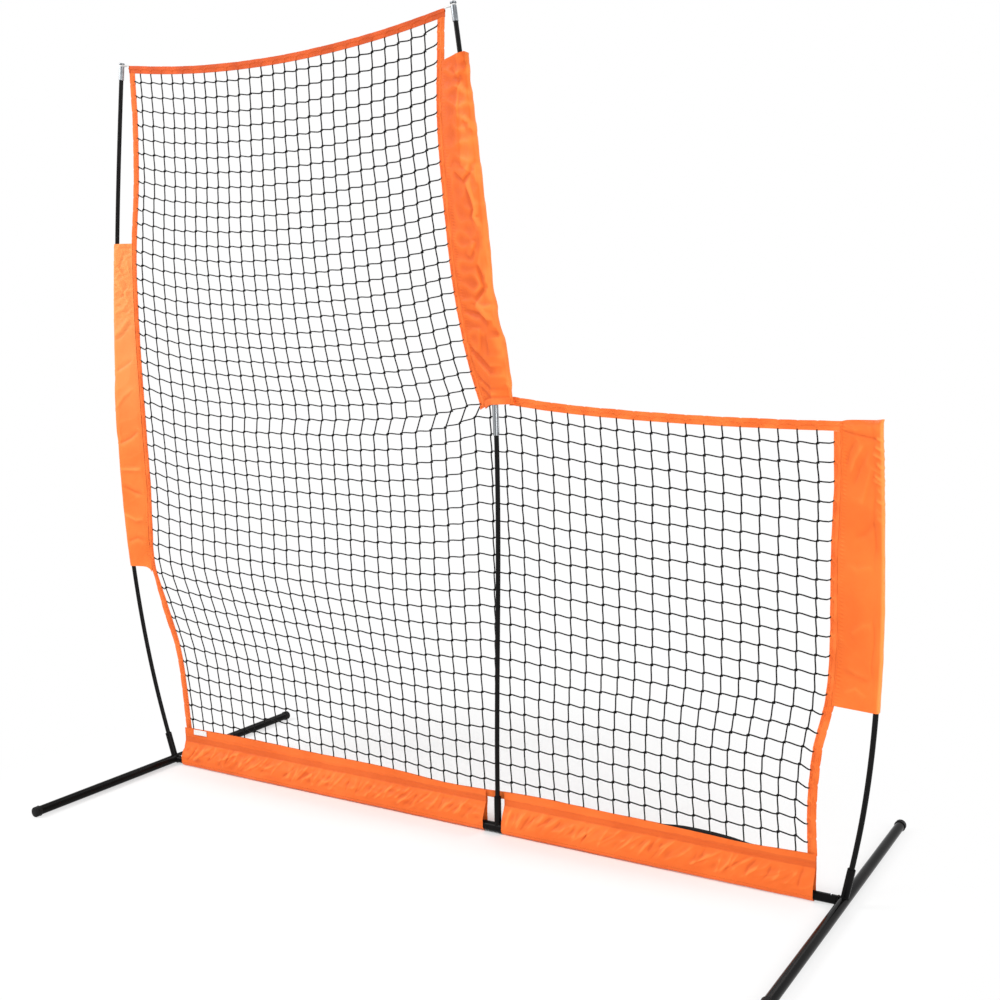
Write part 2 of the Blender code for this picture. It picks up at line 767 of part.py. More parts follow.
def build_pocket():
    """Cloth pocket round the crossbar in two runs, each with a front flap and closure."""
    radius = (coupler_radius + fit_gap + fabric / 2) / math.cos(math.pi / 2 / pocket_arc_steps)
    strap_left = left_edge(hem_top)
    strap_right = right_edge(hem_top)
    runs = (("left", strap_left, centre_pole_offset - base_gap_left),
            ("right", centre_pole_offset + base_gap_right, strap_right))
    hook_rear = binding_front - fit_gap
    hook_front = hook_rear - strip_thickness
    loop_rear = hook_front - fit_gap
    loop_front = loop_rear - strip_thickness
    flap_y = loop_front - fit_gap - fabric / 2
    flap_top = hem_top - flap_top_drop
    hem_bottom = hem_top - hem_depth
    rear = [(net_setback, hem_bottom - fit_gap), (radius, pocket_rear_height)]
    round_bar = [(radius * math.cos(a), bar_height + radius * math.sin(a))
                 for a in (-math.pi * k / pocket_arc_steps for k in range(pocket_arc_steps + 1))]
    front = [(-radius, bar_height + 2 * fit_gap), (-radius, flap_lean_height),
             (flap_y, flap_flat_height), (flap_y, flap_top)]
    for side, low, high in runs:
        rows = [[(x, y, z) for y, z in rear + round_bar] for x in spaced(low, high, 2)]
        sheet("base_pocket_" + side, rows, fabric, orange_cloth)
        rows = [[(x, y, z) for y, z in front] for x in spaced(low, high, 2)]
        sheet("base_flap_" + side, rows, fabric, orange_cloth)
        strip_box("hook_strip_" + side, (low + strip_inset, hook_front, hem_bottom),
                  (high - strip_inset, hook_rear, hem_top), black_tape)
        strip_box("loop_strip_" + side, (low + strip_inset, loop_front, hem_bottom),
                  (high - strip_inset, loop_rear, flap_top), black_tape)
    tag_left = strap_left + tag_inset
    tag_rear = flap_y - fabric / 2 - fit_gap
    tag_top = hem_top + tag_rise
    strip_box("blank_tag", (tag_left, tag_rear - tag_thickness, tag_top - tag_height),
              (tag_left + tag_width, tag_rear, tag_top), white_tape)


def build_loop(name, pole_x, corner_x):
    """Elastic loop round a tip's neck, drawn back to the net's corner."""
    grip = tip_neck_radius + fit_gap + loop_cord_radius
    corner = Vector((corner_x, binding_front - fit_gap - loop_cord_radius, 0))
    centre = Vector((pole_x, 0, 0))
    away = corner - centre
    spread = math.acos(grip / away.length)
    toward = math.atan2(away.y, away.x)
    points = []
    for place in spaced(toward + spread, toward + 2 * math.pi - spread, loop_steps):
        points.append(centre + Vector((grip * math.cos(place), grip * math.sin(place), 0)))
    points.append(corner)
    level_points = [(p.x, p.y, neck_height) for p in points]
    tube(name, level_points, loop_cord_radius, white_cord, cyclic=True, resolution=2)


clear_scene()
screen = bpy.data.collections.new("baseball_l_screen")
cutters = bpy.data.collections.new("cutters")
bpy.context.scene.collection.children.link(screen)
bpy.context.scene.collection.children.link(cutters)

# The origin is the middle of the footprint, so the crossbar's middle is moved off it
reach_heights = spaced(bar_height, tall_height, 200)
left_reach = min(left_pole_x(z) for z in reach_heights if left_sleeve_bottom <= z <= left_sleeve_top)
right_reach = max(right_pole_x(z) for z in reach_heights if right_sleeve_bottom <= z <= right_sleeve_top)
origin = bpy.data.objects.new("screen_origin", None)
screen.objects.link(origin)
origin.location = (-(left_reach + right_reach) / 2, 0, 0)
bpy.context.view_layer.update()

paint = colour_material("black_enamel", (0.012, 0.012, 0.013), 0.25, 0.2)
rubber = colour_material("black_rubber", (0.015, 0.015, 0.016), 0.6, 0)
fibreglass = colour_material("black_fibreglass", (0.014, 0.014, 0.015), 0.4, 0)
bright = colour_material("bright_steel", (0.60, 0.61, 0.63), 0.3, 1)
spring_steel = colour_material("spring_steel", (0.35, 0.35, 0.37), 0.35, 1)
black_cord = colour_material("net_cord", (0.015, 0.015, 0.016), 0.8, 0)
orange_tape = colour_material("orange_binding", (1.0, 0.16, 0.028), 0.7, 0)
orange_cloth = colour_material("orange_cloth", (1.0, 0.20, 0.035), 0.7, 0)
black_tape = colour_material("closure_tape", (0.02, 0.02, 0.02), 0.9, 0)
white_tape = colour_material("white_tag", (0.85, 0.85, 0.86), 0.6, 0)
white_cord = colour_material("white_elastic", (0.80, 0.80, 0.80), 0.8, 0)

build_base()
build_poles()
build_bindings()
build_net()
build_sleeves()
build_pocket()
build_loop("left_corner_loop", left_pole_x(neck_height), top_left)
build_loop("centre_corner_loop", centre_pole_x(neck_height), top_right)
print("origin shift", round(origin.location.x, 5))
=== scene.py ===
"""Looks of a portable baseball L-screen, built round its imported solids.

Metres, Z up. X runs along the crossbar from the tall side to the low side, and Y to the rear.
Each section makes one piece or one group of like pieces, in the order in which the screen
goes together.
"""
import math
import random

import bmesh
import bpy
import numpy as np
from mathutils import Matrix, Vector, noise


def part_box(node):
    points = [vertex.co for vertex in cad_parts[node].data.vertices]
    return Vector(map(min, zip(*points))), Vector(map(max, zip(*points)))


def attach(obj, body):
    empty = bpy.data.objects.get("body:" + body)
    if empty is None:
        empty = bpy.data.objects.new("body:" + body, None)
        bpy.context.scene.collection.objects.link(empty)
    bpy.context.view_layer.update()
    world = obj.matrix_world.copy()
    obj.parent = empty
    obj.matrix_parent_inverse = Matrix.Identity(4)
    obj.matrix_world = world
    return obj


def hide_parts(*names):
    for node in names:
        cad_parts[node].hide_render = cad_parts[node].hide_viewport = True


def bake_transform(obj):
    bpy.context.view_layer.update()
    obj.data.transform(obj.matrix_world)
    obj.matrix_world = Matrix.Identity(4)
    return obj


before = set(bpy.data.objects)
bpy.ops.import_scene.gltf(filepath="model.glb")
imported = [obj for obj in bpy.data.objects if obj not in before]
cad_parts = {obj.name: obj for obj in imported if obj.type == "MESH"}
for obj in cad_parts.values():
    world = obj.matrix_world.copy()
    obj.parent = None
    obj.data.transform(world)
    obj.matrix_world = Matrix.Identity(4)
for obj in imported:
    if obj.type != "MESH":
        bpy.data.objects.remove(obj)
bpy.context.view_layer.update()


# Feet and crossbar
# Steel tube, powder coated in gloss black. Each foot carries a welded stub that slides into
# the crossbar, and the crossbar's halves meet in a coupler below the centre pole.
class Signal:
    """A shader socket that can stand in a sum: each operator adds its Math node."""

    def __init__(self, finish, socket):
        self.finish = finish
        self.socket = socket

    def maths(self, operation, first, second=0.0):
        return self.finish.add("ShaderNodeMath", {"operation": operation}, {0: first, 1: second})

    def __add__(self, other):
        return self.maths("ADD", self, other)

    def __radd__(self, other):
        return self.maths("ADD", other, self)

    def __sub__(self, other):
        return self.maths("SUBTRACT", self, other)

    def __rsub__(self, other):
        return self.maths("SUBTRACT", other, self)

    def __mul__(self, other):
        return self.maths("MULTIPLY", self, other)

    def __rmul__(self, other):
        return self.maths("MULTIPLY", other, self)

    def __truediv__(self, other):
        return self.maths("DIVIDE", self, other)

    def __pow__(self, other):
        return self.maths("POWER", self, other)

    def size(self):
        return self.maths("ABSOLUTE", self)

    def wave(self):
        return self.maths("SINE", self)


class Finish:
    """A material and the nodes that vary it over a piece."""

    def __init__(self, name, fixed):
        self.material = bpy.data.materials.new(name)
        self.material.use_nodes = True
        self.shader = self.material.node_tree.nodes["Principled BSDF"]
        for socket, value in fixed.items():
            self.shader.inputs[socket].default_value = value
        self.place = self.add("ShaderNodeTexCoord", output="Object")

    def add(self, kind, settings=None, links=None, output=0):
        """One node: its settings, then the values or signals of its sockets."""
        node = self.material.node_tree.nodes.new(kind)
        for setting, value in (settings or {}).items():
            setattr(node, setting, value)
        for socket, value in (links or {}).items():
            self.join(value, node.inputs[socket])
        return Signal(self, node.outputs[output])

    def join(self, value, socket):
        if isinstance(value, Signal):
            self.material.node_tree.links.new(value.socket, socket)
        else:
            socket.default_value = value

    def feed(self, socket, value):
        self.join(value, self.shader.inputs[socket])

    def grain(self, scale, detail=2.0, place=None, output="Fac"):
        links = {"Vector": place or self.place, "Scale": scale, "Detail": detail}
        return self.add("ShaderNodeTexNoise", {}, links, output)

    def stretched(self, scale, place=None):
        """The place with each axis scaled, for grain that runs one way."""
        return self.add("ShaderNodeMapping", {}, {"Vector": place or self.place, "Scale": scale})

    def axes(self, place=None):
        split = self.add("ShaderNodeSeparateXYZ", {}, {"Vector": place or self.place})
        outputs = split.socket.node.outputs
        return [Signal(self, outputs[k]) for k in range(3)]

    def ramp(self, value, low, high, first=0.0, second=1.0):
        """Smooth step from first to second while value goes from low to high."""
        links = {"Value": value, "From Min": low, "From Max": high, "To Min": first, "To Max": second}
        return self.add("ShaderNodeMapRange", {"interpolation_type": "SMOOTHSTEP"}, links)

    def mixed(self, share, first, second):
        return self.add("ShaderNodeMix", {"data_type": "RGBA"}, {0: share, 6: first, 7: second}, output=2)

    def emboss(self, height, distance, strength=1.0):
        links = {"Height": height, "Distance": distance, "Strength": strength}
        self.feed("Normal", self.add("ShaderNodeBump", {}, links))


def settle(name, mesh, finish, nodes=(), body="root"):
    """Make a finished mesh a piece that rides on a body and stands for CAD nodes."""
    mesh.materials.clear()
    mesh.materials.append(finish.material)
    piece = bpy.data.objects.new(name, mesh)
    bpy.context.scene.collection.objects.link(piece)
    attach(piece, body)
    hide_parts(*nodes)
    return piece


def dress(names, finish):
    """Give CAD nodes that keep their shape their finish."""
    for name in names:
        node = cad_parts[name]
        node.data.materials.clear()
        node.data.materials.append(finish.material)


def swept_mesh(name, centres, radii, facing, sides=24, closed=False):
    """A round bar through centres; facing is a direction that its path never takes."""
    centres = np.array(centres, float)
    facing = np.array(facing, float)
    radii = np.broadcast_to(radii, len(centres))
    if closed:
        along = np.roll(centres, -1, 0) - np.roll(centres, 1, 0)
    else:
        along = np.gradient(centres, axis=0)
    along /= np.linalg.norm(along, axis=1)[:, None]
    first = facing - (along @ facing)[:, None] * along
    first /= np.linalg.norm(first, axis=1)[:, None]
    second = np.cross(along, first)
    turn = 2 * math.pi * np.arange(sides) / sides
    rings = (centres[:, None] + radii[:, None, None]
             * (np.cos(turn)[None, :, None] * first[:, None] + np.sin(turn)[None, :, None] * second[:, None]))
    count = len(centres)
    faces = []
    for i in range(count if closed else count - 1):
        a, b = i * sides, ((i + 1) % count) * sides
        faces += [(a + k, a + (k + 1) % sides, b + (k + 1) % sides, b + k) for k in range(sides)]
    if not closed:
        faces.append(tuple(range(sides))[::-1])
        faces.append(tuple(range((count - 1) * sides, count * sides)))
    mesh = bpy.data.meshes.new(name)
    mesh.from_pydata(rings.reshape(-1, 3).tolist(), [], faces)
    mesh.shade_smooth()
    mesh.set_sharp_from_angle(angle=sharp_angle)
    return mesh


def turned_mesh(name, profile, foot, direction, steps=40):
    """A solid of revolution: a profile of (radius, height) points from one pole to the other."""
    work = bmesh.new()
    line = [work.verts.new((radius, 0, height)) for radius, height in profile]
    edges = [work.edges.new(pair) for pair in zip(line, line[1:])]
    bmesh.ops.spin(work, geom=line + edges, axis=(0, 0, 1), cent=(0, 0, 0), steps=steps, angle=2 * math.pi)
    bmesh.ops.remove_doubles(work, verts=work.verts, dist=weld_distance)
    bmesh.ops.recalc_face_normals(work, faces=work.faces)
    mesh = bpy.data.meshes.new(name)
    work.to_mesh(mesh)
    work.free()
    turn = Vector(direction).to_track_quat("Z", "Y").to_matrix().to_4x4()
    mesh.transform(Matrix.Translation(Vector(foot)) @ turn)
    mesh.shade_smooth()
    mesh.set_sharp_from_angle(angle=sharp_angle)
    return mesh


def joined(name, meshes):
    """Several meshes as one."""
    work = bmesh.new()
    for part in meshes:
        work.from_mesh(part)
        bpy.data.meshes.remove(part)
    mesh = bpy.data.meshes.new(name)
    work.to_mesh(mesh)
    work.free()
    mesh.shade_smooth()
    mesh.set_sharp_from_angle(angle=sharp_angle)
    return mesh


def bend_round(centre, radius, first, last, steps=4):
    """Points of an arc in a profile, from one angle to another in degrees."""
    turns = [math.radians(first + (last - first) * k / steps) for k in range(steps + 1)]
    return [(centre[0] + radius * math.cos(t), centre[1] + radius * math.sin(t)) for t in turns]


sharp_angle = math.radians(38)
weld_distance = 0.000004
facet_share = math.cos(math.pi / 20)

enamel = Finish("black_enamel", {"Base Color": (0.006, 0.006, 0.006, 1), "Specular IOR Level": 0.05})
dust = enamel.grain(9, 5)
enamel.feed("Roughness", enamel.ramp(dust, 0.35, 0.7, 0.12, 0.24))
enamel.feed("Base Color", enamel.mixed(enamel.ramp(dust, 0.4, 0.75), (0.004, 0.004, 0.004, 1),
                                       (0.009, 0.008, 0.008, 1)))
enamel.emboss(enamel.grain(420, 1), 0.00012, 0.35)


def true_radius(node, axis):
    low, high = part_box(node)
    return (high[axis] - low[axis]) / 2 / facet_share


def middle(node):
    low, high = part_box(node)
    return (low + high) / 2


foot_radius = true_radius("left_foot_tube", 0)
bar_radius = true_radius("crossbar_left", 1)
bar_z = middle("left_foot_tube").z
tube_edge = 0.0006

for side in ("left", "right"):
    low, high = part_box(side + "_foot_tube")
    x = middle(side + "_foot_tube").x
    run = [low.y, low.y + tube_edge, high.y - tube_edge, high.y]
    radii = [foot_radius - tube_edge, foot_radius, foot_radius, foot_radius - tube_edge]
    foot = swept_mesh(side + "_foot", [(x, y, bar_z) for y in run], radii, (0, 0, 1), 48)
    settle(side + "_foot", foot, enamel, [side + "_foot_tube"])

    low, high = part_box("crossbar_" + side)
    run = [low.x, low.x + tube_edge, high.x - tube_edge, high.x]
    radii = [bar_radius - tube_edge, bar_radius, bar_radius, bar_radius - tube_edge]
    bar = swept_mesh(side + "_crossbar", [(x, 0, bar_z) for x in run], radii, (0, 0, 1), 48)
    settle(side + "_crossbar", bar, enamel, ["crossbar_" + side])
dress(["left_foot_stub", "right_foot_stub"], enamel)


# Pole sockets
# Short tubes welded upright on the feet and on the coupler, leaning as the poles lean. Each
# has an open rim with the pole standing in it, and a bead of weld round its foot.
def weld_bead(name, foot, lean, radius, tube_radius, along):
    """Rippled bead where an upright tube of one radius meets a level one."""
    lean = Vector(lean).normalized()
    along = Vector(along)
    across = along.cross(lean).normalized()
    ahead = lean.cross(across)
    centres = []
    for k in range(bead_steps):
        turn = 2 * math.pi * k / bead_steps
        side = across * math.cos(turn) * radius + ahead * math.sin(turn) * radius
        flat = side - along * side.dot(along)
        rise = lean - along * lean.dot(along)
        a = rise.length_squared
        b = 2 * rise.dot(flat)
        c = flat.length_squared - tube_radius ** 2
        climb = (-b + math.sqrt(max(b * b - 4 * a * c, 0))) / (2 * a)
        centres.append(Vector(foot) + side + lean * climb)
    ripple = bead_radius * (1 + 0.16 * np.sin(np.arange(bead_steps) * bead_ripples * 2 * math.pi / bead_steps))
    return swept_mesh(name, centres, ripple, Vector(lean), 10, closed=True)


bead_steps = 96
bead_ripples = 19
bead_radius = 0.0016
socket_radius = 0.0095
socket_rim_bore = 0.0080
socket_bore = 0.00675
socket_rim_depth = 0.004
socket_bore_depth = 0.030


def rail(node, axis=2, gap=0.006):
    """The middle of each ring of a bent round bar, from one end to the other."""
    spots = np.unique(np.round([v.co[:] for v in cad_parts[node].data.vertices], 6), axis=0)
    spots = spots[np.argsort(spots[:, axis])]
    rings = np.split(spots, np.nonzero(np.diff(spots[:, axis]) > gap)[0] + 1)
    return np.array([ring.mean(0) for ring in rings])


def socket_profile(length):
    edge = 0.0007
    return [(0, 0), (socket_radius, 0), *bend_round((socket_radius - edge, length - edge), edge, 0, 90),
            *bend_round((socket_rim_bore + edge, length - edge), edge, 90, 180),
            (socket_rim_bore, length - socket_rim_depth), (socket_bore, length - socket_rim_depth - 0.001),
            (socket_bore, length - socket_bore_depth), (0, length - socket_bore_depth)]


coupler_low, coupler_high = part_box("centre_coupler")
coupler_radius = true_radius("centre_coupler", 1)
coupler_edge = 0.0009
pole_feet = {"left": rail("left_lower_pole"), "centre": rail("centre_lower_pole"), "right": rail("right_pole")}
for side in ("left", "right"):
    line = pole_feet[side]
    foot = Vector((middle(side + "_foot_tube").x, 0, bar_z))
    lean = (Vector(line[1]) - foot).normalized()
    length = (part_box(side + "_pole_socket")[1].z - bar_z) / lean.z - socket_radius * abs(lean.x) / lean.z
    upright = turned_mesh("upright", socket_profile(length), foot, lean)
    bead = weld_bead("bead", foot, lean, socket_radius, foot_radius, (0, 1, 0))
    end = foot + Vector((math.copysign(foot_radius, -foot.x), 0, 0))
    stub_bead = swept_mesh("stub_bead", [end + Vector((0, bar_radius * math.cos(t), bar_radius * math.sin(t)))
                                         for t in np.linspace(0, 2 * math.pi, 60, endpoint=False)],
                           bead_radius, Vector((1, 0, 0)), 8, closed=True)
    settle(side + "_socket", joined(side + "_socket", [upright, bead, stub_bead]), enamel,
           [side + "_pole_socket"])

centre_foot = Vector((pole_feet["centre"][0][0], 0, bar_z))
run = [coupler_low.x, coupler_low.x + coupler_edge, coupler_high.x - coupler_edge, coupler_high.x]
radii = [coupler_radius - coupler_edge, coupler_radius, coupler_radius, coupler_radius - coupler_edge]
shell = swept_mesh("shell", [(x, 0, bar_z) for x in run], radii, Vector((0, 0, 1)), 48)
upright = turned_mesh("upright", socket_profile(coupler_high.z - bar_z), centre_foot, (0, 0, 1))
bead = weld_bead("bead", centre_foot, (0, 0, 1), socket_radius, coupler_radius, (1, 0, 0))
settle("centre_socket", joined("centre_socket", [shell, upright, bead]), enamel,
       ["centre_coupler"])


# Foot caps
# Soft rubber cups pushed over the ends of the feet. Each has a rolled lip at its mouth and a
# slightly domed end.
rubber = Finish("black_rubber", {"Base Color": (0.010, 0.010, 0.010, 1), "Specular IOR Level": 0.12})
scuff = rubber.grain(60, 6)
rubber.feed("Roughness", rubber.ramp(scuff, 0.3, 0.7, 0.38, 0.60))
rubber.feed("Base Color", rubber.mixed(rubber.ramp(scuff, 0.45, 0.8), (0.005, 0.005, 0.005, 1),
                                       (0.014, 0.013, 0.013, 1)))
rubber.emboss(rubber.grain(900, 3), 0.0001, 0.4)
cap_radius = 0.0150
cap_body_radius = 0.0144
cap_end_round = 0.0032
cap_dome = 0.0018
cap_grooves = (0.42, 0.60)      # of its length from the mouth

for side in ("left", "right"):
    for end in ("front", "rear"):
        node = side + "_" + end + "_foot_cap"
        low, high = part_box(node)
        way = -1 if end == "front" else 1
        mouth = low.y if way > 0 else high.y
        length = high.y - low.y
        profile = [(0, 0), (foot_radius + 0.0002, 0), (cap_radius - 0.0006, 0),
                   *bend_round((cap_radius - 0.0011, 0.0011), 0.0011, -60, 60),
                   (cap_body_radius, 0.0030),
                   *[(cap_body_radius - depth, length * share + along) for share in cap_grooves
                     for depth, along in ((0, -0.0007), (0.0006, 0), (0, 0.0007))],
                   (cap_body_radius, length - cap_dome - cap_end_round),
                   *bend_round((cap_body_radius - cap_end_round, length - cap_dome - cap_end_round),
                               cap_end_round, 8, 74, 5),
                   (cap_body_radius * 0.55, length - 0.0007), (cap_body_radius * 0.25, length - 0.0001),
                   (0, length)]
        cup = turned_mesh(side + "_" + end + "_cap", profile, (middle(node).x, mouth, bar_z), (0, way, 0), 48)
        settle(side + "_" + end + "_cap", cup, rubber, [node])


# Snap buttons, springs and rivet
# Nickel-bright buttons stand in holes on top of the tubes. A leaf spring inside each tube
# lifts its button and closes as it is pressed. A domed rivet, painted with the frame, keeps
# the left half of the crossbar in the coupler.
bright = Finish("bright_steel", {"Base Color": (0.62, 0.63, 0.65, 1), "Metallic": 1.0})
streak = bright.grain(60, 4, bright.stretched((14, 14, 1)))
bright.feed("Roughness", bright.ramp(streak, 0.25, 0.75, 0.22, 0.40))
bright.feed("Base Color", bright.mixed(bright.ramp(streak, 0.3, 0.7), (0.42, 0.43, 0.45, 1),
                                       (0.70, 0.72, 0.74, 1)))
bright.emboss(streak, 0.00006, 0.3)
leaf = Finish("spring_steel", {"Base Color": (0.35, 0.35, 0.37, 1), "Metallic": 1.0})
leaf.feed("Roughness", leaf.ramp(leaf.grain(300, 3), 0.3, 0.7, 0.28, 0.42))
button_radius = 0.0032

for label in ("left_foot", "right_foot", "coupler"):
    node = label + "_button"
    low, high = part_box(node)
    reach = high.z - low.z
    profile = [(0, 0), (0.0046, 0), (0.0046, 0.0012), (button_radius, 0.0012), (button_radius, reach - 0.0014),
               *bend_round((button_radius - 0.0014, reach - 0.0014), 0.0014, 10, 80),
               (button_radius * 0.3, reach), (0, reach)]
    pin = turned_mesh(label + "_snap_button", profile, (middle(node).x, 0, low.z), (0, 0, 1), 32)
    settle(label + "_snap_button", pin, bright, [node], node)

    node = label + "_spring"
    low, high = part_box(node)
    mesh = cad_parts[node].data.copy()
    mesh.materials.clear()
    mesh.materials.append(leaf.material)
    piece = bpy.data.objects.new(label + "_leaf_spring", mesh)
    bpy.context.scene.collection.objects.link(piece)
    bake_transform(piece)
    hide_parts(node)

low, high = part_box("coupler_rivet")
head = [(0, 0), (0.0020, 0), (0.0020, high.y - low.y - 0.0014), (0.0036, high.y - low.y - 0.0014),
        (0.0034, high.y - low.y - 0.0007), (0.0024, high.y - low.y - 0.0002), (0, high.y - low.y)]
settle("rivet", turned_mesh("rivet", head, (middle("coupler_rivet").x, high.y, bar_z), (0, -1, 0), 28),
       enamel, ["coupler_rivet"])


# Poles, ferrules and tips
# Pultruded fibreglass rods, bent by the net. The tall poles are in two lengths that meet in a
# steel ferrule, and each pole ends in a turned tip with a groove for the net's corner loop.
def smooth_line(places, values):
    """A smooth curve through a few points, as a function."""
    places = np.array(places, float)
    values = np.array(values, float)
    slopes = np.gradient(values, places)

    def line(place):
        k = np.clip(np.searchsorted(places, place) - 1, 0, len(places) - 2)
        step = places[k + 1] - places[k]
        t = (np.clip(place, places[0], places[-1]) - places[k]) / step
        return ((2 * t ** 3 - 3 * t ** 2 + 1) * values[k] + (t ** 3 - 2 * t ** 2 + t) * step * slopes[k]
                + (3 * t ** 2 - 2 * t ** 3) * values[k + 1] + (t ** 3 - t ** 2) * step * slopes[k + 1])
    return line


rod = Finish("black_fibreglass", {"Base Color": (0.006, 0.006, 0.006, 1), "Specular IOR Level": 0.09})
fibre = rod.grain(500, 3, rod.stretched((1, 1, 0.02)))
rod.feed("Roughness", rod.ramp(fibre, 0.3, 0.7, 0.30, 0.46))
rod.feed("Base Color", rod.mixed(rod.ramp(fibre, 0.4, 0.8), (0.004, 0.004, 0.004, 1), (0.010, 0.009, 0.009, 1)))
rod.emboss(fibre, 0.00008, 0.4)
pole_radius = 0.00635
pole_step = 0.02

pole_x = {}
for side, parts in (("left", ["left_lower_pole", "left_upper_pole"]),
                    ("centre", ["centre_lower_pole", "centre_upper_pole"]), ("right", ["right_pole"])):
    line = np.concatenate([rail(part) for part in parts])
    line = line[np.argsort(line[:, 2])]
    keep = np.concatenate([[True], np.diff(line[:, 2]) > 0.002])
    pole_x[side] = smooth_line(line[keep, 2], line[keep, 0])
    for part in parts:
        low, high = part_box(part)
        steps = max(int((high.z - low.z) / pole_step), 2)
        heights = np.linspace(low.z, high.z, steps + 1)
        path = [(pole_x[side](z), 0, z) for z in heights]
        name = part.replace("_pole", "_rod")
        settle(name, swept_mesh(name, path, pole_radius, Vector((0, 1, 0)), 28), rod, [part])

drawn = Finish("drawn_steel", {"Base Color": (0.55, 0.56, 0.58, 1), "Metallic": 1.0})
# Lengthwise stripes from dark to light grey: painted reflections on the ferrule.
streak = drawn.grain(260, 1, drawn.stretched((1, 1, 0.002)))
drawn.feed("Roughness", drawn.ramp(streak, 0.3, 0.7, 0.25, 0.42))
drawn.feed("Base Color", drawn.mixed(drawn.ramp(streak, 0.38, 0.62), (0.16, 0.17, 0.18, 1), (0.58, 0.61, 0.63, 1)))
drawn.emboss(streak, 0.00008, 0.4)
ferrule_radius = 0.00825
ferrule_edge = 0.0008
for side in ("left", "centre"):
    low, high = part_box(side + "_ferrule")
    heights = [low.z, low.z + ferrule_edge, *np.linspace(low.z + 0.01, high.z - 0.01, 7), high.z - ferrule_edge, high.z]
    radii = [ferrule_radius - ferrule_edge, *[ferrule_radius] * 9, ferrule_radius - ferrule_edge]
    path = [(pole_x[side](z), 0, z) for z in heights]
    settle(side + "_joint_sleeve", swept_mesh(side + "_joint_sleeve", path, radii, Vector((0, 1, 0)), 32), drawn,
           [side + "_ferrule"])

turned = Finish("turned_steel", {"Metallic": 1.0})
# A dark grey with lengthwise stripes: painted shade and reflections on the tips.
streak = turned.grain(170, 1, turned.stretched((1, 1, 0.004)))
turned.feed("Roughness", turned.ramp(streak, 0.3, 0.7, 0.38, 0.52))
turned.feed("Base Color", turned.mixed(turned.ramp(streak, 0.35, 0.65), (0.15, 0.16, 0.17, 1), (0.34, 0.36, 0.38, 1)))
turned.emboss(streak, 0.00006, 0.3)
tip_body_radius = 0.00775
tip_neck_radius = 0.0045
tip_head_radius = 0.0085
tip_head = 0.0045
tip_neck = 0.005
tip_round = 0.0009
for side in ("left", "centre", "right"):
    low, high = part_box(side + "_pole_tip")
    x = middle(side + "_pole_tip").x
    lean = Vector((pole_x[side](low.z) - pole_x[side](low.z - 0.04), 0, 0.04)).normalized()
    length = (high.z - low.z) / lean.z
    top = Vector((x, 0, (low.z + high.z) / 2)) - lean * length / 2
    neck = length - tip_head - tip_neck
    profile = [(0, 0), (tip_body_radius - tip_round, 0), (tip_body_radius, tip_round),
               *bend_round((tip_body_radius - tip_round, neck - tip_round), tip_round, 0, 80),
               (tip_neck_radius, neck), (tip_neck_radius, neck + tip_neck),
               *bend_round((tip_head_radius - tip_round, length - tip_head + tip_round), tip_round, -80, 0),
               *bend_round((tip_head_radius - tip_round, length - tip_round), tip_round, 0, 80), (0, length)]
    settle(side + "_tip", turned_mesh(side + "_tip", profile, top, lean, 36), turned,
           [side + "_pole_tip"])


# Net
# Knotted black twine in squares of about an inch and three quarters. The edges are drawn to
# the binding, so the columns fan out where the net is pulled wide, and slack cord lies in waves.
def edges_of(node, along, across, gap=0.02):
    """The two edges of a flat strip as smooth functions of one axis: the low one, then the high."""
    spots = np.unique(np.round([v.co[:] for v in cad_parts[node].data.vertices], 6), axis=0)
    spots = spots[np.argsort(spots[:, along])]
    groups = np.split(spots, np.nonzero(np.diff(spots[:, along]) > gap)[0] + 1)
    lines = []
    for pick in (np.argmin, np.argmax):
        picked = np.array([group[pick(group[:, across])] for group in groups])
        lines.append(smooth_line(picked[:, along], picked[:, across]))
    return lines


left_outer, left_inner = edges_of("left_binding", 2, 0)
step_inner, step_outer = edges_of("step_side_binding", 2, 0)
right_inner, right_outer = edges_of("right_binding", 2, 0)
top_inner, top_outer = edges_of("top_binding", 0, 2)
step_edges = edges_of("step_top_binding", 0, 2)


def near_corner(x):
    """How far the low side's binding is drawn up towards the tall side's corner."""
    return 0.008 * np.exp(-np.maximum(x - step_start, 0) / 0.13)


def step_under(x):
    return step_edges[0](x) + near_corner(x)


def step_over(x):
    return step_edges[1](x) + near_corner(x)


step_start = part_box("step_top_binding")[0].x
net_y = middle("hem_strap").y
hem_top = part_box("hem_strap")[1].z
hem_line = smooth_line((-0.970, -0.680, -0.450, -0.230, -0.130, 0.010, 0.105, 0.190, 0.260, 0.510, 0.650, 0.780,
                        0.880, 1.000, 1.080),
                       (0.1190, 0.1210, 0.1175, 0.1170, 0.1135, 0.1065, 0.1080, 0.1120, 0.1145, 0.1115, 0.1100,
                        0.1075, 0.1040, 0.1080, 0.1100))   # the hem's top edge, slack between its stitches
corner_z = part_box("step_side_binding")[0].z
tall_columns = 26              # cells across the tall side, above the step
all_columns = 47               # cells across the whole net, below it
corner_row = 23                # row that is tied to the step's corner
tall_rows = 46
first_cell = 0.68              # part of a cell that is left at the hem
last_cell = 0.60               # and under the top
step_cell = 0.65               # and under the low side's edge
pole_column = (27.15, 27.50)   # where the centre pole stands among the columns: hem, step
left_cell = (0.20, 0.55)       # part of a cell beside the left binding: hem, middle and above
right_cell = (0.62, 0.80)      # and beside the right one: hem, low side's edge
sleeve_cell = 0.86             # and beside the centre sleeve
twine = 0.0036
square = 0.04445
tuck = 0.0022                  # how far a cord runs into the binding
row_sag = 0.049                # of the corner's row, half way between its ends
row_lift = 0.062               # of a row's ends above its middle
row_lift_reach = 3.2           # in columns
row_swell = 0.008              # how far rows half way up the low part stand above an even spacing
tall_sag = 0.008               # how far rows half way up the tall part hang below one
pole_dip = 0.011               # of the lowest rows where they pass the centre pole
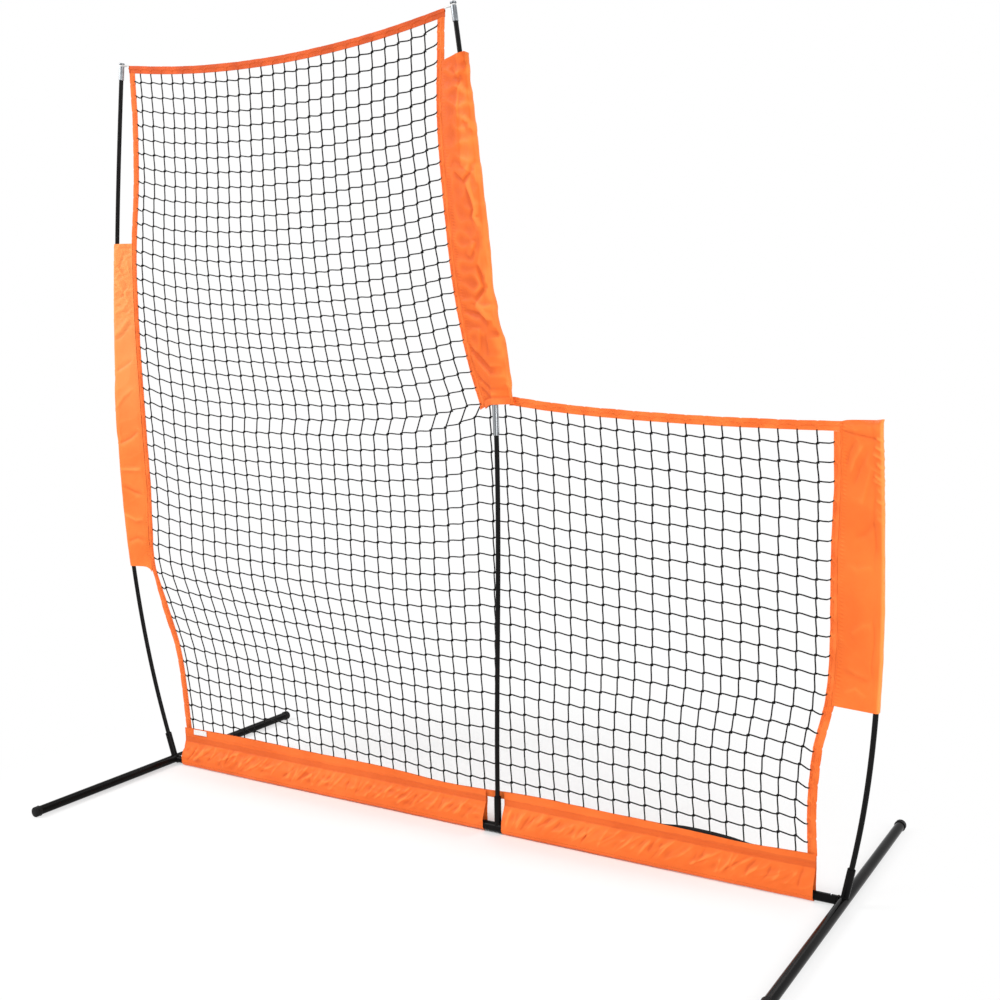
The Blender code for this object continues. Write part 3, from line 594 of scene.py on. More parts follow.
edge_dip = 0.017               # of rows beside the right binding, half way up
unevenness = 0.0022            # of the knots' places
cord_jog = 0.0019              # how far a cord enters and leaves a knot beside its middle
left_rise = 0.005              # of a tall row's end at the left binding above its last knot
sleeve_rise = 0.008            # and at the centre sleeve
corner_rise = 0.010            # more at the top corner
right_rise = 0.0055            # of a low row's end at the right binding
right_fall = 0.0150            # less this far below
right_turn = 0.47              # this height

cord = Finish("net_cord", {"Base Color": (0.006, 0.006, 0.006, 1), "Specular IOR Level": 0.12})
x, y, z = cord.axes()
lay = ((x + z) * 3400 + y * 1500).wave()
fuzz = cord.grain(700, 3)
cord.feed("Roughness", cord.ramp(fuzz, 0.3, 0.7, 0.62, 0.85))
cord.feed("Base Color", cord.mixed(cord.ramp(fuzz, 0.4, 0.8), (0.004, 0.004, 0.004, 1), (0.012, 0.011, 0.011, 1)))
cord.emboss(lay * 0.6 + fuzz, 0.0002, 0.5)


def tied_row(i):
    """Height of the corner's row at a column: it hangs between the left edge and the corner."""
    lift = math.exp(-i / row_lift_reach) + math.exp(-max(tall_columns - i, 0) / row_lift_reach)
    return corner_z - row_sag + row_lift * lift


def net_spot(i, j):
    """Where column i crosses row j, in the net's plane."""
    share = (j - 1 + first_cell) / (corner_row - 1 + first_cell)
    swell = row_swell * 4 * share * (1 - share)
    edge = left_cell[0] + (left_cell[1] - left_cell[0]) * min(share / 0.65, 1)
    if j < corner_row:
        z = hem_top + (tied_row(i) - hem_top) * share + swell
        column = pole_column[0] + (pole_column[1] - pole_column[0]) * min(share / 0.8, 1)
        pole = float(pole_x["centre"](z))
        if i <= column:
            x = left_inner(z) + (pole - left_inner(z)) * (i - 1 + edge) / (column - 1 + edge)
        else:
            last = all_columns - 1 + right_cell[0] + (right_cell[1] - right_cell[0]) * share
            x = pole + (right_inner(z) - pole) * (i - column) / (last - column)
            low_share = (j - 1 + first_cell) / (corner_row - 2 + first_cell + step_cell)
            z = hem_top + (float(step_under(x)) - hem_top) * low_share + swell
            z -= edge_dip * math.exp(-(all_columns - i) / 2.2) * 4 * low_share * (1 - low_share)
        z -= pole_dip * math.exp(-((i - 24.5) / 5.5) ** 2) * max(0.0, 1 - share * 2.2)
    else:
        up_share = (j - corner_row) / (tall_rows - corner_row + last_cell)
        floor_z = tied_row(i)
        across = (i - 1 + edge) / (tall_columns - 2 + edge + sleeve_cell)
        x = left_inner(floor_z) + (step_inner(corner_z) - left_inner(floor_z)) * across
        for _ in range(2):
            z = floor_z + (top_inner(x) - floor_z) * up_share
            z -= tall_sag * 4 * up_share * (1 - up_share) * math.sin(math.pi * i / tall_columns)
            x = left_inner(z) + (step_inner(max(z, corner_z)) - left_inner(z)) * across
    loose = noise.noise_vector(Vector((i * 0.37, j * 0.37, 3.0))) * unevenness
    return Vector((x + loose.x, net_y, z + loose.z))


spots = {}
for j in range(1, tall_rows + 1):
    columns = all_columns if j < corner_row else tall_columns
    for i in range(1, columns):
        spots[i, j] = net_spot(i, j)


def cord_run(ends, aside, jog, droop_share):
    """Points along a cord: it slants through each knot, and hangs a little where it has spare length."""
    run = []
    for a, b in zip(ends, ends[1:]):
        chord = (b - a).length
        spare = max(square - chord, 0)
        droop = droop_share * math.sqrt(spare * chord * 0.375) * (0.7 + 0.6 * noise.noise(a * 90))
        for t, turn in ((0, 0), (0.09, 1), (0.3, 0.7), (0.7, -0.7), (0.91, -1)):
            spot = a.lerp(b, t) + aside * (jog * turn)
            spot.z -= droop * 4 * t * (1 - t)
            run.append(spot)
    run.append(ends[-1])
    return run


def lines_mesh(name, runs):
    """Separate lines of points, each a chain of edges."""
    places = []
    edges = []
    for run in runs:
        start = len(places)
        places += [tuple(p) for p in run]
        edges += [(start + k, start + k + 1) for k in range(len(run) - 1)]
    mesh = bpy.data.meshes.new(name)
    mesh.from_pydata(places, edges, [])
    return mesh


def tree(name, inputs):
    """An empty Geometry Nodes tree with a geometry input, named number inputs and an output."""
    group = bpy.data.node_groups.new(name, "GeometryNodeTree")
    group.interface.new_socket("Geometry", in_out="INPUT", socket_type="NodeSocketGeometry")
    for label, value in inputs.items():
        kind = "NodeSocketInt" if isinstance(value, int) else "NodeSocketFloat"
        socket = group.interface.new_socket(label, in_out="INPUT", socket_type=kind)
        socket.default_value = value
    group.interface.new_socket("Geometry", in_out="OUTPUT", socket_type="NodeSocketGeometry")
    return group, group.nodes.new("NodeGroupInput"), group.nodes.new("NodeGroupOutput")


def wired(group, kind, links, **settings):
    """One geometry node with its settings, and the values or sockets that feed it."""
    node = group.nodes.new(kind)
    for setting, value in settings.items():
        setattr(node, setting, value)
    for socket, value in links.items():
        if isinstance(value, bpy.types.NodeSocket):
            group.links.new(value, node.inputs[socket])
        else:
            node.inputs[socket].default_value = value
    return node


def grown(name, base, group, values, finish):
    """Run a tree on a base mesh with its named inputs set, and return the plain mesh."""
    holder = bpy.data.objects.new(name, base)
    bpy.context.scene.collection.objects.link(holder)
    growth = holder.modifiers.new("growth", "NODES")
    growth.node_group = group
    for item in group.interface.items_tree:
        if item.in_out == "INPUT" and item.name in values:
            growth[item.identifier] = values[item.name]
    view = bpy.context.evaluated_depsgraph_get()
    mesh = bpy.data.meshes.new_from_object(holder.evaluated_get(view))
    bpy.data.objects.remove(holder, do_unlink=True)
    mesh.name = name
    return mesh


def closing(group, source, output, finish):
    """Realize Instances and Set Material, then the group's output."""
    real = wired(group, "GeometryNodeRealizeInstances", {"Geometry": source})
    painted = wired(group, "GeometryNodeSetMaterial", {"Geometry": real.outputs[0], "Material": finish.material})
    group.links.new(painted.outputs[0], output.inputs[0])


twine_tree, given, made = tree("twine", {"Diameter": twine, "Sides": 6})
curve = wired(twine_tree, "GeometryNodeMeshToCurve", {"Mesh": given.outputs["Geometry"]})
half = wired(twine_tree, "ShaderNodeMath", {0: given.outputs["Diameter"], 1: 0.5}, operation="MULTIPLY")
section = wired(twine_tree, "GeometryNodeCurvePrimitiveCircle",
                {"Resolution": given.outputs["Sides"], "Radius": half.outputs[0]})
cords = wired(twine_tree, "GeometryNodeCurveToMesh",
              {"Curve": curve.outputs[0], "Profile Curve": section.outputs[0], "Fill Caps": True})
closing(twine_tree, cords.outputs[0], made, cord)

knot_tree, given, made = tree("knots", {"Wrap": 0.0023, "Thickness": 0.0014, "Seed": 4})
section = wired(knot_tree, "GeometryNodeCurvePrimitiveCircle",
                {"Resolution": 5, "Radius": given.outputs["Thickness"]})
ring = wired(knot_tree, "GeometryNodeCurvePrimitiveCircle", {"Resolution": 7, "Radius": given.outputs["Wrap"]})
wrap = wired(knot_tree, "GeometryNodeCurveToMesh",
             {"Curve": ring.outputs[0], "Profile Curve": section.outputs[0]})
loops = wired(knot_tree, "GeometryNodeJoinGeometry", {})
for slant, shift in ((0.75, -0.0007), (-0.35, 0.0007)):
    loop = wired(knot_tree, "GeometryNodeTransform",
                 {"Geometry": wrap.outputs[0], "Rotation": (0.25, slant, 0), "Translation": (0, 0, shift),
                  "Scale": (1.25, 1.0, 1.0)})
    knot_tree.links.new(loop.outputs[0], loops.inputs[0])
turn = wired(knot_tree, "FunctionNodeRandomValue", {"Seed": given.outputs["Seed"]}, data_type="FLOAT_VECTOR")
turn.inputs[0].default_value = (-0.2, -0.75, -0.2)
turn.inputs[1].default_value = (0.2, -0.15, 0.2)
scale = wired(knot_tree, "FunctionNodeRandomValue", {"Seed": given.outputs["Seed"]}, data_type="FLOAT")
scale.inputs[2].default_value = 0.9
scale.inputs[3].default_value = 1.12
balls = wired(knot_tree, "GeometryNodeInstanceOnPoints",
              {"Points": given.outputs["Geometry"], "Instance": loops.outputs[0],
               "Rotation": turn.outputs[0], "Scale": scale.outputs[1]})
closing(knot_tree, balls.outputs[0], made, cord)

up = Vector((0, 0, 1))
sideways = Vector((1, 0, 0))
tall_runs = []
low_runs = []
for j in range(1, tall_rows + 1):
    full = j < corner_row
    columns = all_columns if full else tall_columns
    row = [spots[i, j] for i in range(1, columns)]
    start = Vector((left_inner(row[0].z) - tuck, net_y, row[0].z + (0.001 if full else left_rise)))
    edge_line = right_inner if full else step_inner
    if full:
        rise = right_rise - right_fall / (1 + math.exp((row[-1].z - right_turn) / 0.05))
    else:
        rise = sleeve_rise + corner_rise * ((j - corner_row) / (tall_rows - corner_row)) ** 4
    stop = Vector((edge_line(row[-1].z) + tuck, net_y, row[-1].z + rise))
    row = [start] + row + [stop]
    split = 28 if full else len(row)
    tall_runs.append(cord_run(row[:split + 1], up, cord_jog, 0.45))
    if full:
        low_runs.append(cord_run(row[split:], up, cord_jog, 0.45))
for i in range(1, all_columns):
    rows = tall_rows if i < tall_columns else corner_row - 1
    column = [spots[i, j] for j in range(1, rows + 1)]
    foot = Vector((column[0].x, net_y, hem_line(column[0].x) - tuck))
    if i < tall_columns:
        head = Vector((column[-1].x, net_y, top_inner(column[-1].x) + tuck))
    else:
        roof = corner_z if i < 28 else step_under(column[-1].x)
        head = Vector((max(column[-1].x, step_inner(corner_z) + 0.004), net_y, roof + tuck))
    run = cord_run([foot] + column + [head], sideways, cord_jog * 0.6, 0.0)
    (tall_runs if i < 28 else low_runs).append(run)

for name, runs, node, chosen in (
        ("tall_net", tall_runs, "net_tall_side", lambda i: i < 28),
        ("low_net", low_runs, "net_low_side", lambda i: i >= 28)):
    mesh = grown(name, lines_mesh(name + "_lines", runs), twine_tree, {"Diameter": twine}, cord)
    settle(name, mesh, cord, [node])
    points = bpy.data.meshes.new(name + "_points")
    points.from_pydata([tuple(p) for (i, j), p in spots.items() if chosen(i)], [], [])
    mesh = grown(name + "_knots", points, knot_tree, {"Seed": 4}, cord)
    settle(name + "_knots", mesh, cord)


# Bindings and hem
# Orange webbing folded over the net's border cord and sewn through it with zig-zag thread. The
# cord stands out as a rib, and every cord of the net that runs into the fold raises it a little.
def cloth_mesh(name, grid, lay, thickness, folds=None):
    """A closed sheet of cloth over a grid of points; lay holds the points' places on the flat cloth.

    folds holds each point's rise above the cloth round it, from 0 to 1, and its place across; the finish paints shade
    and light from the rise.
    """
    grid = np.array(grid, float)
    rows, columns = grid.shape[:2]
    normal = np.cross(np.gradient(grid, axis=0), np.gradient(grid, axis=1))
    normal /= np.maximum(np.linalg.norm(normal, axis=2), 1e-12)[..., None]
    points = np.concatenate([(grid + normal * thickness / 2).reshape(-1, 3),
                             (grid - normal * thickness / 2).reshape(-1, 3)])
    number = np.arange(rows * columns).reshape(rows, columns)
    a, b, c, d = number[:-1, :-1], number[1:, :-1], number[1:, 1:], number[:-1, 1:]
    face = np.stack([a, b, c, d], 2).reshape(-1, 4)
    back = face[:, ::-1] + rows * columns
    rim = np.concatenate([number[:-1, 0], number[-1, :-1], number[:0:-1, -1], number[0, :0:-1]])
    after = np.roll(rim, -1)
    under = rows * columns
    edge = np.stack([after, rim, rim + under, after + under], 1)
    mesh = bpy.data.meshes.new(name)
    faces = np.concatenate([face, back, edge])
    mesh.from_pydata(points.tolist(), [], faces.tolist())
    for label, values in (("flat_cloth", lay), ("folds", folds)):
        if values is not None:
            flat = np.array(values, float).reshape(-1, 2)
            places = np.concatenate([flat, flat])[faces.reshape(-1)]
            layer = mesh.uv_layers.new(name=label)
            layer.data.foreach_set("uv", places.reshape(-1))
    mesh.shade_smooth()
    mesh.set_sharp_from_angle(angle=math.radians(70))
    return mesh


def thread_mesh(name, path, pitch, length, thickness, finish, zigzag=0.0):
    """Stitches along a line of points: each a short raised bar, tilted to and fro for zig-zag."""
    mesh = bpy.data.meshes.new(name + "_line")
    mesh.from_pydata([tuple(p) for p in path], [(k, k + 1) for k in range(len(path) - 1)], [])
    values = {"Pitch": pitch, "Length": length, "Thickness": thickness, "Tilt": zigzag}
    return grown(name, mesh, stitch_tree, values, finish)


def webbing_finish(name, dark, light):
    """Ribbed polyester tape in two close shades."""
    finish = Finish(name, {"Specular IOR Level": 0.15, "Sheen Weight": 0.05, "Sheen Roughness": 0.5})
    u, v, _ = finish.axes(finish.add("ShaderNodeTexCoord", output="UV"))
    ribs = (u * 5200).wave() * 0.5 + (v * 5200).wave() * 0.35
    finish.feed("Base Color", finish.mixed(finish.ramp(finish.grain(22, 4), 0.3, 0.7), (*dark, 1), (*light, 1)))
    finish.feed("Roughness", finish.ramp(finish.grain(300, 2), 0.3, 0.7, 0.55, 0.75))
    finish.emboss(ribs + finish.grain(260, 4) * 1.2, 0.0002, 0.5)
    return finish


webbing = webbing_finish("orange_binding", (0.78, 0.140, 0.023), (0.91, 0.195, 0.038))
# The top band takes a darker copy of the same webbing: painted shade.
top_webbing = webbing_finish("orange_top_binding", (0.54, 0.076, 0.013), (0.68, 0.108, 0.020))

sewing = Finish("sewing_thread", {"Specular IOR Level": 0.3, "Sheen Weight": 0.1})
sewing.feed("Base Color", sewing.mixed(sewing.grain(900, 2), (0.56, 0.066, 0.011, 1), (0.74, 0.105, 0.019, 1)))
sewing.feed("Roughness", sewing.ramp(sewing.grain(500, 2), 0.3, 0.7, 0.45, 0.65))

stitch_tree, given, made = tree("stitches", {"Pitch": 0.003, "Length": 0.002, "Thickness": 0.0005, "Tilt": 0.0})
curve = wired(stitch_tree, "GeometryNodeMeshToCurve", {"Mesh": given.outputs["Geometry"]})
spaced_out = wired(stitch_tree, "GeometryNodeResampleCurve", {"Curve": curve.outputs[0],
                                                              "Length": given.outputs["Pitch"]}, mode="LENGTH")
run_way = wired(stitch_tree, "GeometryNodeInputTangent", {})
aligned = wired(stitch_tree, "FunctionNodeAlignRotationToVector", {"Vector": run_way.outputs[0]}, axis="X")
counter = wired(stitch_tree, "GeometryNodeInputIndex", {})
odd = wired(stitch_tree, "ShaderNodeMath", {0: counter.outputs[0], 1: 2.0}, operation="MODULO")
signed = wired(stitch_tree, "ShaderNodeMath", {0: odd.outputs[0], 1: 2.0, 2: -1.0}, operation="MULTIPLY_ADD")
swing = wired(stitch_tree, "ShaderNodeMath", {0: signed.outputs[0], 1: given.outputs["Tilt"]}, operation="MULTIPLY")
spin = wired(stitch_tree, "FunctionNodeAxisAngleToRotation", {"Axis": (0, 1, 0), "Angle": swing.outputs[0]})
turned_way = wired(stitch_tree, "FunctionNodeRotateRotation",
                   {"Rotation": aligned.outputs[0], "Rotate By": spin.outputs[0]}, rotation_space="GLOBAL")
bead_form = wired(stitch_tree, "GeometryNodeMeshIcoSphere", {"Radius": 0.5, "Subdivisions": 1})
size = wired(stitch_tree, "ShaderNodeCombineXYZ", {0: given.outputs["Length"], 1: given.outputs["Thickness"],
                                                   2: given.outputs["Thickness"]})
shaped = wired(stitch_tree, "GeometryNodeTransform", {"Geometry": bead_form.outputs["Mesh"], "Scale": size.outputs[0]})
bars = wired(stitch_tree, "GeometryNodeInstanceOnPoints",
             {"Points": spaced_out.outputs[0], "Instance": shaped.outputs[0], "Rotation": turned_way.outputs[0]})
closing(stitch_tree, bars.outputs[0], made, sewing)


def band(name, node, low, high, outer, inner, upright, marks, finish=webbing, wide=0.022, rib=0.0013, slant=0.0,
         tuck_line=None, sewn=True, scallop=1.0, wander=0.0012, point=0.0):
    """Folded webbing between two edges, with its rib and the ridges of the cords that enter it."""
    count = int((high - low) / band_step) + 1
    marks = np.array(sorted(marks))
    grid, lay = [], []
    for k in range(count + 1):
        t = low + (high - low) * k / count
        nearest = marks[np.argmin(np.abs(marks - t))]
        pinned = math.exp(-((t - nearest) / 0.0075) ** 2)
        crimp = noise.noise(Vector((t * 150, low * 9, 2.2)))
        ripple = noise.noise(Vector((t * 24, low * 7, 7.7)))
        a, b = float(inner(t)), float(outer(t))
        pull = math.copysign(0.0013, a - b) * math.exp(-((t - nearest) / 0.003) ** 2)
        a, b = a + (pull * 0.6 + ripple * wander / 2) * scallop, b + pull * scallop + ripple * wander
        rib_place = 0.62 - 0.13 * pinned
        row, flat = [], []
        for share, side in band_section:
            half = 0.0006 + rib * math.exp(-((share - rib_place) / 0.09) ** 2)
            ridge_off = t - nearest - slant * (rib_place - share) * wide
            half += 0.85 * rib * math.exp(-(ridge_off / 0.0021) ** 2) * min(1.0, max(0.0, (rib_place - share) / 0.1))
            half += 0.00030 * crimp * math.sin(math.pi * share)
            half = max(half, 0.00035) * (1.0 if share < 1 else 0.0)
            place = a + (b - a) * share
            along = t + point * share * max(0.0, 1 - (t - low) / 0.03)
            y = net_y + side * half
            if tuck_line is not None:
                over = t - float(tuck_line(place))
                if over > 0:
                    y = net_y + side * half * max(0.35, 1 - over / 0.004)
                    along = t if over < 0.005 else float(tuck_line(place)) + 0.005
            row.append((place, y, along) if upright else (along, y, place))
            flat.append((t, (2 - share if side > 0 else share) * abs(b - a)))
        grid.append(row)
        lay.append(flat)
    mesh = cloth_mesh(name, grid, lay, 0.0006)
    piece = settle(name, mesh, finish, [node])
    if not sewn:
        return
    stitches = []
    for share in (0.14, 0.30):
        line = []
        for k in range(int((high - low) / 0.008) + 1):
            t = low + 0.007 + (high - low - 0.010) * k / int((high - low) / 0.008)
            place = float(inner(t)) + float(outer(t) - inner(t)) * share
            if tuck_line is not None and t > float(tuck_line(place)) - 0.002:
                continue
            line.append((place, net_y - 0.0014, t) if upright else (t, net_y - 0.0014, place))
        stitches.append(thread_mesh(name + "_row", line, 0.0034, 0.0036, 0.0008, sewing, 0.7))
    settle(name + "_stitches", joined(name + "_stitches", stitches), sewing)


band_step = 0.0018
front_shares = [0, 0.04, 0.12, 0.22, 0.32, 0.40, 0.47, 0.53, 0.59, 0.65, 0.71, 0.78, 0.88, 0.95]
band_section = ([(share, -1) for share in front_shares] + [(1.0, 0)]
                + [(share, 1) for share in (0.95, 0.8, 0.65, 0.5, 0.35, 0.15, 0)])

top_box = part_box("top_binding")
band("top_band", "top_binding", top_box[0].x, top_box[1].x, top_outer, top_inner, False,
     [spots[i, tall_rows].x for i in range(1, tall_columns)], top_webbing, rib=0.0022, sewn=False,
     scallop=0.35, wander=0.0006)
step_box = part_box("step_top_binding")
band("step_band", "step_top_binding", step_box[0].x - 0.014, step_box[1].x, step_over, step_under, False,
     [spots[i, corner_row - 1].x for i in range(28, all_columns)], rib=0.0022, slant=0.5, sewn=False,
     scallop=0.7)
side_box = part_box("left_binding")


def left_slack_edge(z):
    """The left tape's outer edge: drawn in at its sleeve's foot, loose and wide below it."""
    return left_outer(z) + 0.0045 * np.exp(-((z - 0.595) / 0.028) ** 2) - 0.0050 * np.exp(-((z - 0.465) / 0.060) ** 2)


band("left_band", "left_binding", side_box[0].z - 0.003, side_box[1].z, left_slack_edge, left_inner, True,
     [spots[1, j].z for j in range(1, tall_rows + 1)], tuck_line=top_inner, wander=0.0019)
side_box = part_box("step_side_binding")
band("step_side_band", "step_side_binding", side_box[0].z - 0.012, side_box[1].z, step_outer, step_inner, True,
     [spots[tall_columns - 1, j].z for j in range(corner_row, tall_rows + 1)], tuck_line=top_inner, point=0.012)
side_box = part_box("right_binding")
band("right_band", "right_binding", side_box[0].z - 0.012, side_box[1].z, right_outer, right_inner, True,
     [spots[all_columns - 1, j].z for j in range(1, corner_row)], rib=0.0017, slant=0.8,
     tuck_line=step_under, wander=0.0019)
hem_low, hem_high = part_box("hem_strap")
band("hem_band", "hem_strap", hem_low.x, hem_high.x, lambda x: hem_low.z + 0 * x, hem_line, False,
     [spots[i, 1].x for i in range(1, all_columns)], wide=hem_high.z - hem_low.z, rib=0.0005, sewn=False)


# Sleeves
# Woven polyester sewn to the bindings and folded round the poles as long pockets. The cloth
# is stretched askew between pole and binding, so it lies in slanting folds.
def crease(x, z, path, width, height):
    """A fold along a path of (x, z) points: steep to its left, easy to its right, fading at its ends."""
    path = np.array(path, float)
    near = np.full(x.shape, 9.0)
    along = np.zeros(x.shape)
    spread = np.full(x.shape, width)
    run = 0.0
    for a, b in zip(path, path[1:]):
        length = math.hypot(*(b - a))
        t = np.clip(((x - a[0]) * (b - a)[0] + (z - a[1]) * (b - a)[1]) / length ** 2, 0, 1)
        off = np.hypot(x - a[0] - t * (b - a)[0], z - a[1] - t * (b - a)[1])
        left = (b - a)[0] * (z - a[1]) > (b - a)[1] * (x - a[0])
        along = np.where(off < near, run + t * length, along)
        spread = np.where(off < near, width * np.where(left, 0.6, 1.7), spread)
        near = np.minimum(near, off)
        run += length
    return height * np.exp(-(near / spread) ** 2) * (1 - (2 * along / run - 1) ** 4)


def softened(values, reach):
    """The values of a grid, each averaged with its neighbours both ways."""
    for axis in (0, 1):
        sides = [(reach, reach) if k == axis else (0, 0) for k in (0, 1)]
        wide = np.pad(values, sides, mode="edge")
        count = values.shape[axis]
        total = 0
        for k in range(2 * reach + 1):
            total = total + np.take(wide, range(k, k + count), axis)
        values = total / (2 * reach + 1)
    return values


def fold_shading(lift, more=0.0):
    """How far each place stands above the cloth round it, for the finish to paint shade in the low places and light on
    the high ones: half way where it's flat.
    """
    rise = (lift - softened(lift, fold_reach)) / fold_height + more
    return np.clip(0.5 + 0.5 * rise, 0, 1)


def rumple(x, z, seed, size, height, lean=0.0):
    """Soft shallow creases that cross at all angles, or mostly along one lean."""
    dice = random.Random(seed)
    total = 0.0 * x
    for _ in range(9):
        turn = dice.gauss(lean, 0.5) if lean else dice.uniform(0, math.pi)
        wave = size * dice.uniform(0.6, 1.7)
        total = total + np.sin((x * math.cos(turn) + z * math.sin(turn)) * 2 * math.pi / wave
                               + dice.uniform(0, 2 * math.pi))
    return height * (0.6 - np.abs(total) / 3)


fold_reach = 5                  # steps of the grid
fold_height = 0.0024


def cloth_finish(name, dark, light, edge_glow=0.0):
    """Plain-woven polyester with a fine weave, painted in shade in its valleys and painted lighter on its folds.

    The last argument is how much painted light, as if shining through the single cloth, it takes along the edge past
    the pole.
    """
    finish = Finish(name, {"Specular IOR Level": 0.18, "Sheen Weight": 0.05, "Sheen Roughness": 0.45})
    u, v, _ = finish.axes(finish.add("ShaderNodeTexCoord", output="UV"))
    weave = (u * 7800).wave() * (v * 7800).wave()
    crumple = finish.grain(38, 5, finish.stretched((1.0, 1.0, 0.55)))
    rise, across, _ = finish.axes(finish.add("ShaderNodeUVMap", {"uv_map": "folds"}))
    plain = finish.mixed(finish.ramp(finish.grain(7, 5), 0.3, 0.72), (*dark, 1), (*light, 1))
    # Painted shade in the valleys and painted light on the ridges, read from the folds map.
    valley = 1 - finish.ramp(rise, 0.0, 0.5)
    ridge = finish.ramp(rise, 0.5, 1.0)
    shaded = finish.mixed(valley * 0.75, plain, (dark[0] * 0.80, dark[1] * 0.62, dark[2] * 0.55, 1))
    lit = finish.mixed(ridge * 0.75, shaded, (0.96, light[1] * 1.5, light[2] * 1.9, 1))
    # Painted light along the single cloth past the pole, as if shining through it.
    single = finish.ramp(across, 0.93, 0.985)
    finish.feed("Base Color", finish.mixed(single * edge_glow, lit, (0.96, 0.33, 0.072, 1)))
    finish.feed("Roughness", finish.ramp(finish.grain(120, 2), 0.3, 0.7, 0.45, 0.62))
    finish.emboss(weave * 0.10 + crumple * 3.5, 0.0007, 0.6)
    return finish


# The sleeves take copies of one cloth: the left painted lighter and the centre a little darker, painted light and shade
# for how each is lit.
cloth = cloth_finish("orange_cloth", (0.80, 0.145, 0.020), (0.92, 0.185, 0.028), 0.75)
centre_cloth = cloth_finish("orange_centre_cloth", (0.78, 0.136, 0.017), (0.90, 0.174, 0.024), 0.30)
left_cloth = cloth_finish("orange_left_cloth", (0.84, 0.170, 0.026), (0.94, 0.225, 0.042), 0.25)
sleeve_cloth = {"left": left_cloth, "right": cloth, "centre": centre_cloth}
# Higher up, the left sleeve is painted paler still: painted light, as if lit through from behind.
_, _, height = left_cloth.axes()
lower_colour = left_cloth.shader.inputs["Base Color"].links[0].from_socket
painted_backlight = left_cloth.ramp(height, 0.9, 1.45) * 0.62
left_cloth.feed("Base Color", left_cloth.mixed(painted_backlight, Signal(left_cloth, lower_colour), (0.96, 0.36, 0.115, 1)))
fabric = 0.0010
tunnel_front = 0.0095
tunnel_nose = 0.003
cloth_rear = net_y + 0.00125 + 0.0003 + fabric / 2
cloth_front = net_y - 0.00125 - 0.0003 - fabric / 2
sleeve_step = 0.0030
rear_steps = 12
arc_steps = 10
front_steps = 42
rod_clearance = pole_radius + 0.0006
sleeve_hem_rows = 6
joint_swell = 0.0019            # of the sleeve drawn over a ferrule
tunnel_side = 0.0085            # of the loop of cloth beyond its pole
snug = 0.0076                   # from a pole's middle to the sleeve drawn tight over it


def swell_at(side, z):
    """How far a sleeve stands further out where its pole's ferrule is inside."""
    if side != "left":
        return 0 * z
    return joint_swell * np.exp(-((z - middle("left_ferrule").z) / 0.086) ** 8)


def sleeve(side, way, inner, outer, low_edge, high_edge, relief, layer_shading, closed_top=0.0):
    """A hairpin of cloth from the binding round the pole and back, with its folds.

    The layer argument gives painted light where the cloth lies single, as if lit through it, and painted shade where it
    is doubled.
    """
    rear = np.linspace(0, 1, rear_steps, endpoint=False)
    arc = np.linspace(math.pi / 2, -math.pi / 2, arc_steps + 1)
    front = np.linspace(0, 1, front_steps + 1)[1:]
    rows = int((high_edge(0.5) - low_edge(0.5)) / sleeve_step)
    climb = np.linspace(0, 1, rows + 1)[:, None]
    place = np.concatenate([rear, np.ones(len(arc)), 1 - front]) + 0 * climb
    p, q = len(rear), len(rear) + len(arc)
    for _ in range(3):
        z = low_edge(place) + (high_edge(place) - low_edge(place)) * climb
        web, reach, pole = inner(z), outer(z), pole_x[side](z)
        shut = np.clip((high_edge(place) - z) / closed_top, 0, 1) if closed_top else np.ones_like(z)
        shut = shut * (2 - shut)
        fore = -cloth_front * (1 - shut) + tunnel_front * shut
        radius = (cloth_rear + fore) / 2
        side_radius = np.minimum(radius, tunnel_side)
        turn_x = reach - way * side_radius
        nose = pole - way * tunnel_nose
        x, y = np.empty_like(z), np.empty_like(z)
        x[:, :p] = web[:, :p] + (turn_x - web)[:, :p] * rear
        y[:, :p] = cloth_rear
        x[:, p:q] = turn_x[:, p:q] + way * side_radius[:, p:q] * np.cos(arc)
        y[:, p:q] = (cloth_rear - fore[:, p:q]) / 2 + radius[:, p:q] * np.sin(arc)
        x[:, q:] = nose[:, q:] + (web - nose)[:, q:] * front
        y[:, q:] = -fore[:, q:] + (cloth_front + fore[:, q:]) * front
        place = np.abs(x - web) / np.abs(reach - web)
    lift = relief(x, z, place) * np.minimum(1, np.abs(x - web) / 0.010)
    folds = np.stack([fold_shading(lift, layer_shading(x, z)), place], 2)
    lift *= np.minimum(1, shut + 0.2)
    away = np.concatenate([np.full(p, 0.7), np.sin(arc), np.full(len(front), -1.0)])
    y += lift * away
    x[:, p:q] += way * lift[:, p:q] * np.cos(arc) * 0.25
    clearance = rod_clearance + swell_at(side, z)
    over_rod = (np.abs(x - pole) < clearance) & (shut > 0.99)
    over_rod[:, :p + arc_steps // 2] = False
    y = np.where(over_rod, np.minimum(y, -clearance), y)
    steps = np.hypot(np.diff(x, axis=1), np.diff(y, axis=1))
    run = np.concatenate([np.zeros((len(z), 1)), np.cumsum(steps, axis=1)], axis=1)
    return np.stack([x, y, z], 2), np.stack([z, run], 2), folds


